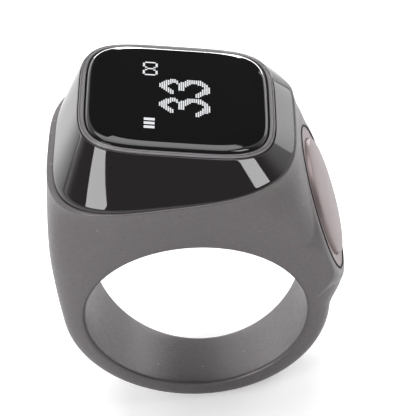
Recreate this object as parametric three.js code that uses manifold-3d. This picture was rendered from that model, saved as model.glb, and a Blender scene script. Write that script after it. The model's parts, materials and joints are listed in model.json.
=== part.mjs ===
// Finger-worn digital tally counter: a ring with a tilted display on its head and a round side button.
// Millimetres. The origin is the centre of the finger bore, whose axis is Y. +Z points up to the head
// and +X to the button. The front face, seen by the wearer's other hand, looks along -Y.
import * as THREE from "three";
import { mergeVertices } from "three/addons/utils/BufferGeometryUtils.js";
import Module from "manifold-3d";

const wasm = await Module();
wasm.setup();

// Driving dimensions of the ring
const BORE_RADIUS = 10;
const BAND_THICKNESS = 2.15;
const BAND_WIDTH_LOW = 7.2; // at the lowest point of the bore
const BAND_WIDTH_MIDDLE = 12;
const BAND_WIDTH_HIGH = 18.3; // at the highest point of the bore
const FLOOR_WALL = 1.2; // wall between the bore and the inside
const HEAD_DEPTH = 4.8; // from the inside's floor up to the seam under the cover
const SEAM_INSET_LEFT = 1.25; // how far the seam lies inside the band's radius, away from the button
const SEAM_INSET_RIGHT = 0.95;
const LEFT_TAPER = 2; // power of the curve that draws each side in towards the seam
const RIGHT_TAPER = 1.5;
const BAND_SQUARENESS = 9; // power of the oval that rounds the ring's sides
const SEAM_SQUARENESS = 3.4;
const ROUNDING_HEIGHT = 8; // how far below the seam the sides start to turn rounder
const SIDE_WALL = 1.4;
const HEAD_WALL = 2.3; // wall of the head at its left and right ends

// Driving dimensions of the cover and the display
const COVER_LIP_LEFT = 0.38; // how far the ring stands out past the cover at the seam
const COVER_LIP_RIGHT = 0.04;
const COVER_LIP_SIDE = 0.1;
const COVER_SLOPE = 0.45;
const DISPLAY_SHIFT = 1.23; // how far the display lies towards the button
const DISPLAY_RISE = 3.64; // height of the display datum above the seam
const DISPLAY_TILT = 12.9; // degrees, down towards the button
const GLASS_HALF_X = 8.02;
const GLASS_HALF_Y = 8.05;
const GLASS_SQUARENESS = 4.5;
const GLASS_THICKNESS = 1.38;
const GLASS_PROUD = 0.28;
const GLASS_EDGE_RADIUS = 0.56;
const GLASS_BEVEL_WIDTH = 0.36; // of the ground bevel round the glass's face
const GLASS_BEVEL_DROP = 0.09;
const BEZEL_WIDTH_ENDS = 0.51; // at the end by the button and at the other end
const BEZEL_WIDTH_SIDES = 0.43;
const BEZEL_SQUARENESS = 4.3;
const BEZEL_CROWN = -0.04; // height of the bezel's crown over the display datum
const BEZEL_STEP = 0.14; // width of the step along the bezel's outer edge
const BEZEL_STEP_DROP = 0.05;
const BEZEL_SEAT = 0.25; // how far the bezel's seat lies below the display datum
const BEZEL_LIP_DEPTH = 0.85; // how far the bezel's lip reaches into the window
const WINDOW_MARGIN = 0.25;
const GASKET_SHRINK = 0.1; // the gasket's outline inside the glass's
const GLUE_THICKNESS = 0.1; // between the glass and the panel, and between the glass and its ledge
const GLUE_MARGIN = 0.3;
const PANEL_BORDER_X = 2.42; // from the glass's edge in to the panel's
const PANEL_BORDER_Y = 1.2;
const PANEL_THICKNESS = 1.2;
const PANEL_STEP = 1.3; // width of the strip that carries the tail
const PANEL_CLEARANCE = 0.15;
const LEDGE_THICKNESS = 0.7;
const SKIRT_DEPTH = 1;
const SKIRT_THICKNESS = 0.8;
const SKIRT_SQUARENESS = 4;
const REBATE_WALL = 1.42; // from the cover's outline in to the rebate that takes its skirt
const SEAM_GASKET_HEIGHT = 0.25;
const SEAM_GASKET_WIDTH = 0.7;
const TAIL_THICKNESS = 0.12;
const TAIL_WIDTH = 6;
const TAIL_START = 2.6; // from the panel's left edge in to where the tail leaves it
const TAIL_LOOP = 1; // how far the tail's loop reaches past the panel
const SOCKET_X = -3.2;
const SOCKET_HALF_X = 1.1;
const SOCKET_HALF_Y = 3.6;
const SOCKET_HEIGHT = 0.9;
const LATCH_HEIGHT = 0.3;

// Driving dimensions of the button and the switch
const BUTTON_STAND = 0.35; // how far the button's seat lies outside the band's radius
const BUTTON_HEIGHT = 7.3;
const BUTTON_TILT = 9.5; // degrees that the button's face looks upwards
const BUTTON_RADIUS = 6.5;
const BUTTON_FLANGE = 0.65;
const BUTTON_EDGE = 0.08;
const BUTTON_DISC_RADIUS = 5.3; // of the raised disc that the thumb feels
const BUTTON_DISC_STEP = 0.28;
const BUTTON_DOME = 0.56;
const BUTTON_TRAVEL = 0.3;
const RIM_WIDTH = 0.4; // flat rim of the ring round the button
const RIM_FALL = 1.4;
const RIM_FALL_WIDTH = 1;
const RIM_EASE = 0.85; // share of the fall after which it runs on straight
const SWELL_WIDTH = 3.5; // how far round the button the shoulder swells out to meet it
const STEM_RADIUS = 0.7;
const GUIDE_LENGTH = 1.3;
const SEAL_WALL = 1.05; // wall between the button's pocket and the switch bay
const SEAL_SEAT_DEPTH = 0.55;
const SEAL_SECTION = 0.22;
const BUTTON_SEAL_WIDTH = 0.8;
const BUTTON_SEAL_HEIGHT = 0.24;
const CLIP_RADIUS = 1.15;
const CLIP_THICKNESS = 0.22;
const CLIP_GROOVE = 0.22;
const CLIP_OPENING = 56; // degrees
const STEM_TIP = 0.28; // how far the stem reaches past its clip
const SWITCH_HALF = 1.5;
const SWITCH_HEIGHT = 1.1;
const PLUNGER_RADIUS = 0.55;
const PLUNGER_HIDDEN = 0.3; // how far the plunger reaches into the switch at rest
const PEG_RADIUS = 0.18;
const PEG_HEIGHT = 0.06;
const SWITCH_BOARD_THICKNESS = 0.45;
const SWITCH_BOARD_MARGIN = 0.3; // the small board's edge past the switch, above and below it
const SWITCH_BOARD_HALF_Y = 3;
const SWITCH_BOARD_RISE = 0.17; // the small board's lowest corner above the wall round the bore
const BRACKET_THICKNESS = 0.7;
const BAY_MARGIN = 0.2;
const SWITCH_FLEX_WIDTH = 2.4;

// Driving dimensions of the battery and the circuit board
const BATTERY_THICKNESS = 2.2;
const BATTERY_SIDE_SPACE = 0.4; // from the battery's sides to the bosses beside it
const BATTERY_END_INSET = 1; // from the board's ends in to the battery's
const BATTERY_CORNER = 0.8;
const POUCH_EDGE = 0.5; // length of the pouch's sealed edge
const POUCH_EDGE_INSET = 0.6;
const POUCH_EDGE_THICKNESS = 0.3;
const TAPE_THICKNESS = 0.1;
const TAPE_INSET = 0.7;
const LEAD_RADIUS = 0.16;
const LEAD_SPACING = 2.2;
const FOAM_INSET = 0.3;
const FRAME_THICKNESS = 0.48;
const FRAME_LEDGE = 0.8; // how far the frame reaches over the battery's edges
const BOARD_MARGIN_X = 0.6; // from the inside's wall to the board
const BOARD_MARGIN_Y = 0.18;
const BOARD_SKIRT_SPACE = 0.96; // from the cover's skirt to the board's ends, at the least
const BOARD_THICKNESS = 0.6;
const BOARD_CORNER = 2.5;
const SCREW_INSET_X = 1.4; // from the board's edges to its screws
const SCREW_INSET_Y = 1.6;
const SCREW_RADIUS = 0.5;
const SCREW_LENGTH = 2.9;
const SCREW_POINT = 0.3;
const SCREW_HEAD_RADIUS = 0.85;
const SCREW_HEAD_HEIGHT = 0.45;
const SCREW_SLOT = 0.24;
const BOSS_RADIUS = 1.1;
const CHIP_SPACE = 0.8; // between the chips on the board
const CONTROLLER_X = 1.2;
const CONTROLLER_SIDE = 4;
const CONTROLLER_HEIGHT = 0.75;
const CHARGER_SIDE = 2;
const CHARGER_HEIGHT = 0.6;
const SMALL_PART_LENGTH = 2; // the crystal and the inductor are alike in plan
const SMALL_PART_WIDTH = 1.6;
const SMALL_PART_INSET = 2; // from the board's ends to their centres
const CRYSTAL_X = 0.6;
const CRYSTAL_HEIGHT = 0.5;
const INDUCTOR_HEIGHT = 0.9;
const ANTENNA_INSET = 0.5;
const ANTENNA_WIDTH = 1.6;
const ANTENNA_LENGTH = 5.2;
const ANTENNA_HEIGHT = 0.9;
const ANTENNA_NOTCH = 0.4;

// Driving dimensions of the motor, the charging contacts and the magnets
const MOTOR_RADIUS = 1.5;
const MOTOR_END_SPACE = 1; // from the bosses to each end of the motor and its weight
const MOTOR_COLLAR_RADIUS = 0.75;
const MOTOR_COLLAR_LENGTH = 0.2;
const MOTOR_SHAFT_RADIUS = 0.35;
const MOTOR_BORED_SHARE = 0.4; // share of the motor's length that its shaft reaches into
const MOTOR_SHAFT_TIP = 0.15;
const WEIGHT_RADIUS = 1.38;
const WEIGHT_HUB_RADIUS = 0.7;
const WEIGHT_LENGTH = 2;
const WEIGHT_GAP = 0.25; // between the motor's collar and its weight
const WEIGHT_CUT = 0.15; // height of the weight's flat side above its axis
const MOTOR_BAY_MARGIN = 0.35;
const CRADLE_INSET = 0.6;
const CRADLE_DROP = 0.3; // how far the cradle's top lies below the motor's axis
const PIN_SPACING = 4.6;
const PIN_HEAD_RADIUS = 0.9;
const PIN_HEAD_HEIGHT = 0.48;
const PIN_SHANK_RADIUS = 0.45;
const CONTACT_BLOCK_WIDTH = 2.7;
const CONTACT_BLOCK_END = 1.55; // from each contact's middle to the block's end
const CHARGE_FLEX_WIDTH = 1.7;
const MAGNET_RADIUS = 1.2;
const MAGNET_THICKNESS = 0.75;
const MAGNET_WALL = 0.9; // between the contacts' slot and each magnet

// Clearances
const GAP = 0.05; // between pieces that are glued or rest on each other
const CLOSE = 0.02; // between small pieces that are pressed or soldered together
const FIT = 0.12; // between pieces that slide or drop into each other
const PAST = 1; // how far a cut runs past the surface that it opens

// Numbers that follow from the sizes above
const bandRadius = BORE_RADIUS + BAND_THICKNESS;
const floorRadius = BORE_RADIUS + FLOOR_WALL;
const seamHeight = floorRadius + HEAD_DEPTH;
const seamLeft = bandRadius - SEAM_INSET_LEFT;
const seamRight = bandRadius - SEAM_INSET_RIGHT;
const cavityHalfX = Math.min(seamLeft, seamRight) - HEAD_WALL;
const rebateBottom = seamHeight - SKIRT_DEPTH - SEAM_GASKET_HEIGHT;
const boardHalfX = cavityHalfX - BOARD_MARGIN_X;
const screwX = boardHalfX - SCREW_INSET_X;
const batteryHalfX = screwX - BOSS_RADIUS - BATTERY_SIDE_SPACE;
const batteryBottom = floorRadius + GAP + TAPE_THICKNESS + GAP;
const batteryTop = batteryBottom + BATTERY_THICKNESS;
const frameBottom = batteryTop + GAP * 2;
const boardBottom = frameBottom + FRAME_THICKNESS + CLOSE;
const boardTop = boardBottom + BOARD_THICKNESS;
const pocketRadius = BUTTON_RADIUS + FIT;
const pocketDepth = BUTTON_FLANGE + BUTTON_TRAVEL + GAP + BUTTON_SEAL_HEIGHT + CLOSE / 2;
const glassBottom = GLASS_PROUD - GLASS_THICKNESS;
const panelTop = glassBottom - GLUE_THICKNESS;
const panelBottom = panelTop - PANEL_THICKNESS;

// How fine the round shapes are
const OCTANT_STEPS = 8;
const BAND_STEPS = 32;
const HEAD_STEPS = 20;
const OVAL_STEPS = 56;
const ROUND_STEPS = 48;
const SMALL_STEPS = 16;
const MOTOR_STEPS = 32;
const ARC_STEPS = 6;
const BORE_STEPS = 96;

// Helpers for angles, solids and booleans
const radians = (degrees) => (degrees * Math.PI) / 180;
const lerp = (a, b, t) => a + (b - a) * t;

function smooth(from, to, value) {
  const t = Math.min(1, Math.max(0, (value - from) / (to - from)));
  return t * t * (3 - 2 * t);
}

function signedVolume(geometry) {
  const p = geometry.attributes.position;
  const index = geometry.index.array;
  const [a, b, c] = [new THREE.Vector3(), new THREE.Vector3(), new THREE.Vector3()];
  let volume = 0;
  for (let i = 0; i < index.length; i += 3) {
    a.fromBufferAttribute(p, index[i]);
    b.fromBufferAttribute(p, index[i + 1]);
    c.fromBufferAttribute(p, index[i + 2]);
    volume += a.dot(b.cross(c)) / 6;
  }
  return volume;
}

// Keeps only merged positions and turns the faces outwards
function closed(source) {
  const bare = source.clone();
  bare.deleteAttribute("normal");
  bare.deleteAttribute("uv");
  const geometry = mergeVertices(bare, 1e-5);
  const index = Array.from(geometry.index.array);
  const kept = [];
  for (let i = 0; i < index.length; i += 3) {
    const [a, b, c] = index.slice(i, i + 3);
    if (a !== b && b !== c && c !== a) kept.push(a, b, c);
  }
  geometry.setIndex(kept);
  if (signedVolume(geometry) < 0) geometry.setIndex(kept.reverse());
  return geometry;
}

function solid(source) {
  const geometry = closed(source);
  return new wasm.Manifold(new wasm.Mesh({
    numProp: 3,
    vertProperties: new Float32Array(geometry.attributes.position.array),
    triVerts: new Uint32Array(geometry.index.array),
  }));
}

function geometryOf(manifold) {
  const mesh = manifold.getMesh();
  const geometry = new THREE.BufferGeometry();
  geometry.setAttribute("position", new THREE.BufferAttribute(mesh.vertProperties, 3));
  geometry.setIndex(new THREE.BufferAttribute(mesh.triVerts, 1));
  geometry.computeVertexNormals();
  return geometry;
}

const joined = (first, ...others) => others.reduce((sum, other) => sum.add(other), first);
const cut = (first, ...others) => others.reduce((rest, other) => rest.subtract(other), first);

function boxGeometry(x, y, z) {
  const geometry = new THREE.BoxGeometry(x[1] - x[0], y[1] - y[0], z[1] - z[0]);
  return geometry.translate((x[0] + x[1]) / 2, (y[0] + y[1]) / 2, (z[0] + z[1]) / 2);
}

const box = (x, y, z) => solid(boxGeometry(x, y, z));

// A round bar along Z, at x, y, between two heights
function barGeometry(x, y, radius, z, steps = SMALL_STEPS) {
  const geometry = new THREE.CylinderGeometry(radius, radius, z[1] - z[0], steps);
  return geometry.rotateX(Math.PI / 2).translate(x, y, (z[0] + z[1]) / 2);
}

const bar = (...sizes) => solid(barGeometry(...sizes));

// A round bar along Y, at x, z
function crossBarGeometry(x, z, radius, y, steps = SMALL_STEPS) {
  const geometry = new THREE.CylinderGeometry(radius, radius, y[1] - y[0], steps);
  return geometry.translate(x, (y[0] + y[1]) / 2, z);
}

const crossBar = (...sizes) => solid(crossBarGeometry(...sizes));

// A profile of [radius, height] pairs turned about Z
function turnedGeometry(profile, steps = ROUND_STEPS) {
  const points = profile.map(([radius, height]) => new THREE.Vector2(radius, height));
  return new THREE.LatheGeometry(points, steps).rotateX(Math.PI / 2);
}

const turned = (profile, steps) => solid(turnedGeometry(profile, steps));

// A squared-off oval in the XY plane
function oval(halfX, halfY, power, centreX = 0, steps = OVAL_STEPS) {
  const points = [];
  for (let i = 0; i < steps; i++) {
    const angle = (i / steps) * Math.PI * 2;
    const [c, s] = [Math.cos(angle), Math.sin(angle)];
    const reach = (Math.abs(c) ** power + Math.abs(s) ** power) ** (-1 / power);
    points.push(new THREE.Vector3(centreX + halfX * reach * c, halfY * reach * s, 0));
  }
  return points;
}

const raised = (points, height) => points.map((p) => new THREE.Vector3(p.x, p.y, p.z + height));

// A closed skin through rings of equally many points, from the lowest ring to the highest
function loftGeometry(rings) {
  const count = rings[0].length;
  const positions = rings.flat().flatMap((p) => [p.x, p.y, p.z]);
  const index = [];
  for (let r = 0; r + 1 < rings.length; r++) {
    for (let i = 0; i < count; i++) {
      const [a, b] = [r * count + i, r * count + ((i + 1) % count)];
      index.push(a, b, b + count, a, b + count, a + count);
    }
  }
  for (const [ring, flip] of [[0, true], [rings.length - 1, false]]) {
    const centre = positions.length / 3;
    const middle = rings[ring].reduce((sum, p) => sum.add(p), new THREE.Vector3()).divideScalar(count);
    positions.push(middle.x, middle.y, middle.z);
    for (let i = 0; i < count; i++) {
      const [a, b] = [ring * count + i, ring * count + ((i + 1) % count)];
      index.push(...(flip ? [b, a, centre] : [a, b, centre]));
    }
  }
  const geometry = new THREE.BufferGeometry();
  geometry.setAttribute("position", new THREE.Float32BufferAttribute(positions, 3));
  geometry.setIndex(index);
  return geometry;
}

const loft = (...rings) => solid(loftGeometry(rings));
const prism = (outline, z) => loft(raised(outline, z[0]), raised(outline, z[1]));

// An outline in the XY plane given a thickness along Z
function plateGeometry(shape, z) {
  const settings = { depth: z[1] - z[0], bevelEnabled: false, curveSegments: ARC_STEPS };
  return new THREE.ExtrudeGeometry(shape, settings).translate(0, 0, z[0]);
}

function roundedShape(halfX, halfY, corner) {
  const shape = new THREE.Shape();
  shape.moveTo(halfX, -halfY + corner);
  shape.lineTo(halfX, halfY - corner);
  shape.absarc(halfX - corner, halfY - corner, corner, 0, Math.PI / 2, false);
  shape.absarc(-halfX + corner, halfY - corner, corner, Math.PI / 2, Math.PI, false);
  shape.absarc(-halfX + corner, -halfY + corner, corner, Math.PI, Math.PI * 1.5, false);
  shape.absarc(halfX - corner, -halfY + corner, corner, Math.PI * 1.5, Math.PI * 2, false);
  return shape;
}

// A thin strip that follows a smooth line in the XZ plane, with its width along Y
function ribbonGeometry(line, thickness, y) {
  const route = new THREE.CatmullRomCurve3(line.map(([x, z]) => new THREE.Vector3(x, z, 0)));
  const steps = (line.length - 1) * 5;
  const [upper, lower] = [[], []];
  for (let i = 0; i <= steps; i++) {
    const at = route.getPoint(i / steps);
    const along = route.getTangent(i / steps);
    upper.push(new THREE.Vector2(at.x - (along.y * thickness) / 2, at.y + (along.x * thickness) / 2));
    lower.unshift(new THREE.Vector2(at.x + (along.y * thickness) / 2, at.y - (along.x * thickness) / 2));
  }
  const shape = new THREE.Shape([...upper, ...lower]);
  const geometry = new THREE.ExtrudeGeometry(shape, { depth: y[1] - y[0], bevelEnabled: false });
  return geometry.rotateX(Math.PI / 2).translate(0, y[1], 0);
}

// The ring's outer surface
// Half the ring's width at a height: a parabola through the three band widths.
function halfWidth(z) {
  const middle = BAND_WIDTH_MIDDLE / 2;
  const slope = (BAND_WIDTH_HIGH - BAND_WIDTH_LOW) / 4 / BORE_RADIUS;
  const bend = (BAND_WIDTH_HIGH + BAND_WIDTH_LOW - 2 * BAND_WIDTH_MIDDLE) / 4 / BORE_RADIUS ** 2;
  return middle + slope * z + bend * z * z;
}

const leftReach = (z) => bandRadius - SEAM_INSET_LEFT * (z / seamHeight) ** LEFT_TAPER;
const rightReach = (z) => bandRadius - SEAM_INSET_RIGHT * (z / seamHeight) ** RIGHT_TAPER;
const rounding = (z) => smooth(seamHeight - ROUNDING_HEIGHT, seamHeight, z);
const squareness = (z) => lerp(BAND_SQUARENESS, SEAM_SQUARENESS, rounding(z));

// Half the clear width inside the ring's side walls
const insideHalfY = (z) => halfWidth(z) - SIDE_WALL;
const coverHalfY = halfWidth(seamHeight) - COVER_LIP_SIDE;
const skirtInsideY = coverHalfY - REBATE_WALL - FIT - SKIRT_THICKNESS;
const boardHalfY =
  Math.min(insideHalfY(floorRadius) - BOARD_MARGIN_Y, skirtInsideY - BOARD_SKIRT_SPACE);
const batteryHalfY = boardHalfY - BATTERY_END_INSET;
const screwY = boardHalfY - SCREW_INSET_Y;
const screwPlaces = [-screwX, screwX].flatMap((x) => [-screwY, screwY].map((y) => [x, y]));

// The plane of the button's seat, and the two directions in it
const buttonTilt = radians(BUTTON_TILT);
const buttonX = bandRadius + BUTTON_STAND;
const buttonCentre = new THREE.Vector3(buttonX, 0, BUTTON_HEIGHT);
const buttonOut = new THREE.Vector3(Math.cos(buttonTilt), 0, Math.sin(buttonTilt));
const seatReach = (z) => buttonX + (BUTTON_HEIGHT - z) * Math.tan(buttonTilt);

// How far the shoulder swells beyond the plain band, at a place on its right side
function swell(y, z) {
  const plain = z < 0 ? Math.sqrt(Math.max(0, bandRadius ** 2 - z ** 2)) : rightReach(z);
  const away = Math.hypot(y, z - BUTTON_HEIGHT);
  const share = 1 - smooth(pocketRadius - GAP, pocketRadius + SWELL_WIDTH - GAP, away);
  return Math.max(0, seatReach(z) - plain) * share;
}

// Depth of the rim below the button's seat: flat at first, then a rounded fall
function rimDepth(away) {
  const past = Math.max(0, away - pocketRadius - RIM_WIDTH) / RIM_FALL_WIDTH;
  const eased = Math.min(past, RIM_EASE);
  const root = Math.sqrt(1 - eased * eased);
  return RIM_FALL * (1 - root + ((past - eased) * eased) / root);
}

// Lifts a point of the right side onto the rim round the button
function ontoRim(point) {
  if (point.x < bandRadius / 2) return point;
  const from = point.clone().sub(buttonCentre);
  const height = from.dot(buttonOut);
  const away = from.clone().addScaledVector(buttonOut, -height).length();
  const lift = -rimDepth(away) - height;
  return lift > 0 ? point.clone().addScaledVector(buttonOut, lift) : point;
}

// Directions round half an oval, closer together at its corners
function ovalAngles() {
  const angles = [];
  for (let i = 0; i <= OCTANT_STEPS; i++) angles.push(45 * (1 - (1 - i / OCTANT_STEPS) ** 1.5));
  const quarter = [...angles, ...angles.slice(0, -1).reverse().map((a) => 90 - a)];
  return [...quarter.slice(1).reverse().map((a) => -a), ...quarter].map(radians);
}

function ovalPoint(angle, power) {
  const [c, s] = [Math.max(0, Math.cos(angle)), Math.sin(angle)];
  const reach = (c ** power + Math.abs(s) ** power) ** (-1 / power);
  return [c * reach, s * reach];
}

// The upper part is a stack of ovals; the lower part swings the lowest oval's half round the bore's axis
function ringOutside(top) {
  const angles = ovalAngles();
  const rings = [];
  for (let level = 0; level <= HEAD_STEPS; level++) {
    const z = (top * level) / HEAD_STEPS;
    const power = squareness(z);
    const ring = [];
    for (const angle of angles) {
      const [k, s] = ovalPoint(angle, power);
      const y = s * halfWidth(z);
      ring.push(ontoRim(new THREE.Vector3(k * (rightReach(z) + swell(y, z)), y, z)));
    }
    for (const angle of angles.slice(1, -1).reverse()) {
      const [k, s] = ovalPoint(angle, power);
      ring.push(new THREE.Vector3(-k * leftReach(z), s * halfWidth(z), z));
    }
    rings.push(ring);
  }
  const positions = [];
  const index = [];
  const add = (p) => positions.push(p.x, p.y, p.z) / 3 - 1;
  const upper = rings.map((ring) => ring.map(add));
  for (let r = 0; r + 1 < upper.length; r++) {
    upper[r].forEach((a, i) => {
      const next = (i + 1) % upper[r].length;
      index.push(a, upper[r][next], upper[r + 1][next], a, upper[r + 1][next], upper[r + 1][i]);
    });
  }
  const lid = add(new THREE.Vector3(0, 0, top));
  const rim = upper[upper.length - 1];
  rim.forEach((a, i) => index.push(a, rim[(i + 1) % rim.length], lid));
  const lower = [];
  for (let step = 0; step <= BAND_STEPS; step++) {
    const turn = Math.PI * (step / BAND_STEPS) ** 1.35;
    lower.push(angles.map((angle) => {
      const [k, s] = ovalPoint(angle, BAND_SQUARENESS);
      const z = -k * bandRadius * Math.sin(turn);
      const y = s * halfWidth(z);
      const x = k * (bandRadius * Math.cos(turn) + (turn < Math.PI / 2 ? swell(y, z) : 0));
      return add(ontoRim(new THREE.Vector3(x, y, z)));
    }));
  }
  for (let step = 0; step < BAND_STEPS; step++) {
    for (let i = 0; i + 1 < angles.length; i++) {
      const [a, b] = [lower[step][i], lower[step][i + 1]];
      const [c, d] = [lower[step + 1][i + 1], lower[step + 1][i]];
      index.push(a, c, b, a, d, c);
    }
  }
  const geometry = new THREE.BufferGeometry();
  geometry.setAttribute("position", new THREE.Float32BufferAttribute(positions, 3));
  geometry.setIndex(index);
  return geometry;
}

// Places things in the button's frame: local Z points out of the button, local Y stays Y, local X down
const buttonFrame = new THREE.Matrix4().makeBasis(
  new THREE.Vector3(Math.sin(buttonTilt), 0, -Math.cos(buttonTilt)),
  new THREE.Vector3(0, 1, 0),
  buttonOut,
).setPosition(buttonCentre);
const atButton = (geometry) => solid(geometry.applyMatrix4(buttonFrame));

// Heights along the button's axis: zero at its seat, negative inside the ring
const clipTop = -pocketDepth - SEAL_WALL - GAP;
const clipBottom = clipTop - CLIP_THICKNESS;
const stemEnd = clipBottom - STEM_TIP;
const plungerTip = stemEnd - GAP;
const caseTop = plungerTip - BUTTON_TRAVEL - PEG_HEIGHT - CLOSE / 2;
const caseBottom = caseTop - SWITCH_HEIGHT;
const switchBoardTop = caseBottom - CLOSE;
const switchBoardBottom = switchBoardTop - SWITCH_BOARD_THICKNESS;
const bracketTop = switchBoardBottom - GAP;
const bracketBottom = bracketTop - BRACKET_THICKNESS;
const sealSeatRadius = STEM_RADIUS + 2 * SEAL_SECTION + FIT;
const guideEnd = -BUTTON_FLANGE - GUIDE_LENGTH;
const switchBoardHalf = SWITCH_HALF + SWITCH_BOARD_MARGIN;

// The stem stands as low above the button's centre as the wall round the bore lets its switch,
// and the guide pin as far below
function cornerAboveButton() {
  const below = new THREE.Vector3(0, 0, switchBoardBottom).applyMatrix4(buttonFrame);
  const along = below.z * Math.cos(buttonTilt) - below.x * Math.sin(buttonTilt);
  const reach = floorRadius + SWITCH_BOARD_RISE;
  return Math.sqrt(along ** 2 + reach ** 2 - below.x ** 2 - below.z ** 2) - along;
}
const stemOffset = cornerAboveButton() + switchBoardHalf;
const bayInner = batteryHalfX + 2 * GAP;
const switchFlexStart = new THREE.Vector3(
  -stemOffset - switchBoardHalf - FIT,
  0,
  (switchBoardTop + switchBoardBottom) / 2,
).applyMatrix4(buttonFrame);

// The vibration motor lies along Y, low in the bay on the left, and stands clear of the bore's wall
const motorX = -bayInner - GAP - MOTOR_RADIUS;
const motorHeight = Math.sqrt((floorRadius + FIT + MOTOR_RADIUS) ** 2 - motorX ** 2);
const motorBayOuter = motorX - MOTOR_RADIUS - FIT;
const rotorOverhang = MOTOR_COLLAR_LENGTH + WEIGHT_GAP + WEIGHT_LENGTH + MOTOR_SHAFT_TIP;
const shaftFront = screwY - BOSS_RADIUS - MOTOR_END_SPACE;
const motorFront = shaftFront - rotorOverhang;
const motorBack = -shaftFront;
const shaftBack = lerp(motorFront, motorBack, MOTOR_BORED_SHARE);

// The charging contacts and the magnets lie along Y in the ring's floor
const contactSlotHalfX = CONTACT_BLOCK_WIDTH / 2 + GAP;
const contactSlotHalfY = PIN_SPACING / 2 + CONTACT_BLOCK_END + GAP;
const magnetY = contactSlotHalfY + MAGNET_WALL + MAGNET_RADIUS;
const magnetBottom = floorRadius - MAGNET_THICKNESS - CLOSE;

// The outlines that the cover shares with the ring's seam
const coverLeft = seamLeft - COVER_LIP_LEFT;
const coverRight = seamRight - COVER_LIP_RIGHT;
const coverHalfX = (coverLeft + coverRight) / 2;
const coverCentre = (coverRight - coverLeft) / 2;
const rebateCentre = coverCentre / 2;

// The outline of the rebate in the ring's top, or one that lies inside it by a margin
function rebateOutline(margin) {
  const [halfX, halfY] = [coverHalfX - REBATE_WALL - margin, coverHalfY - REBATE_WALL - margin];
  return oval(halfX, halfY, SKIRT_SQUARENESS, rebateCentre);
}

function ringBody() {
  const outside = solid(ringOutside(seamHeight));
  const past = BAND_WIDTH_HIGH;
  const bore = crossBar(0, 0, BORE_RADIUS, [-past, past], BORE_STEPS);
  const floor = crossBar(0, 0, floorRadius, [-past, past], BORE_STEPS);
  const top = seamHeight + PAST;
  const hopper = loft(
    raised(oval(cavityHalfX, insideHalfY(floorRadius), 5), floorRadius),
    raised(oval(cavityHalfX, insideHalfY(rebateBottom), 5), top),
  );
  const rebate = prism(rebateOutline(0), [rebateBottom, top]);
  const motorBay = cut(box(
    [motorBayOuter, -bayInner],
    [motorBack - MOTOR_BAY_MARGIN, shaftFront + MOTOR_BAY_MARGIN],
    [BORE_RADIUS / 2, floorRadius + PAST],
  ), floor);
  const bayHalf = switchBoardHalf + BAY_MARGIN;
  const bayHalfY = SWITCH_BOARD_HALF_Y + 2 * BAY_MARGIN;
  const switchBay = atButton(boxGeometry(
    [-stemOffset - bayHalf, -stemOffset + bayHalf],
    [-bayHalfY, bayHalfY],
    [bracketBottom - PAST, clipTop + GAP],
  ));
  const underBattery = box([0, bayInner], [-bayHalfY - PAST, bayHalfY + PAST], [0, floorRadius]);
  const bays = [motorBay, cut(switchBay, floor, underBattery)];
  const stemHoleRadius = STEM_RADIUS + FIT;
  const guideHoleEnd = guideEnd - BUTTON_TRAVEL - FIT;
  const buttonCuts = [
    barGeometry(0, 0, pocketRadius, [-pocketDepth, RIM_FALL + PAST], ROUND_STEPS),
    barGeometry(-stemOffset, 0, stemHoleRadius, [clipTop - PAST, 0]),
    barGeometry(-stemOffset, 0, sealSeatRadius, [-pocketDepth - SEAL_SEAT_DEPTH, 0]),
    barGeometry(stemOffset, 0, stemHoleRadius, [guideHoleEnd, 0]),
  ].map(atButton);
  const slot = box(
    [-contactSlotHalfX, contactSlotHalfX],
    [-contactSlotHalfY, contactSlotHalfY],
    [0, floorRadius + PAST],
  );
  const magnetPockets = [-magnetY, magnetY].map((y) =>
    bar(0, y, MAGNET_RADIUS + GAP, [magnetBottom - GAP, floorRadius + PAST]));
  const shell = cut(outside, bore, hopper, rebate, ...bays, ...buttonCuts, slot, ...magnetPockets);
  const bosses = screwPlaces.map(([x, y]) => bar(x, y, BOSS_RADIUS, [floorRadius - PAST, frameBottom]));
  const holeBottom = boardTop - SCREW_LENGTH - FIT;
  const holes = screwPlaces.map(([x, y]) =>
    bar(x, y, SCREW_RADIUS + GAP, [holeBottom, frameBottom + PAST]));
  return geometryOf(cut(joined(shell, ...bosses), ...holes));
}

// Places things in the display's frame: local Z is the display's normal, local X runs down to the button
const displayFrame = new THREE.Matrix4()
  .makeTranslation(DISPLAY_SHIFT, 0, seamHeight + DISPLAY_RISE)
  .multiply(new THREE.Matrix4().makeRotationY(radians(DISPLAY_TILT)));
const atDisplay = (points) => points.map((p) => p.clone().applyMatrix4(displayFrame));

// Outlines that follow the glass or the bezel at a margin outside it
const glassOutline = (margin) => oval(GLASS_HALF_X + margin, GLASS_HALF_Y + margin, GLASS_SQUARENESS);
const bezelHalfX = GLASS_HALF_X + BEZEL_WIDTH_ENDS;
const bezelHalfY = GLASS_HALF_Y + BEZEL_WIDTH_SIDES;
const bezelOutline = (margin) => oval(bezelHalfX + margin, bezelHalfY + margin, BEZEL_SQUARENESS);
const panelHalfX = GLASS_HALF_X - PANEL_BORDER_X;
const panelHalfY = GLASS_HALF_Y - PANEL_BORDER_Y;
const openHalfX = panelHalfX + PANEL_CLEARANCE;
const openHalfY = panelHalfY + PANEL_CLEARANCE;

// A box centred on the origin in plan
const pad = (halfX, halfY, z) => boxGeometry([-halfX, halfX], [-halfY, halfY], z);

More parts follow.
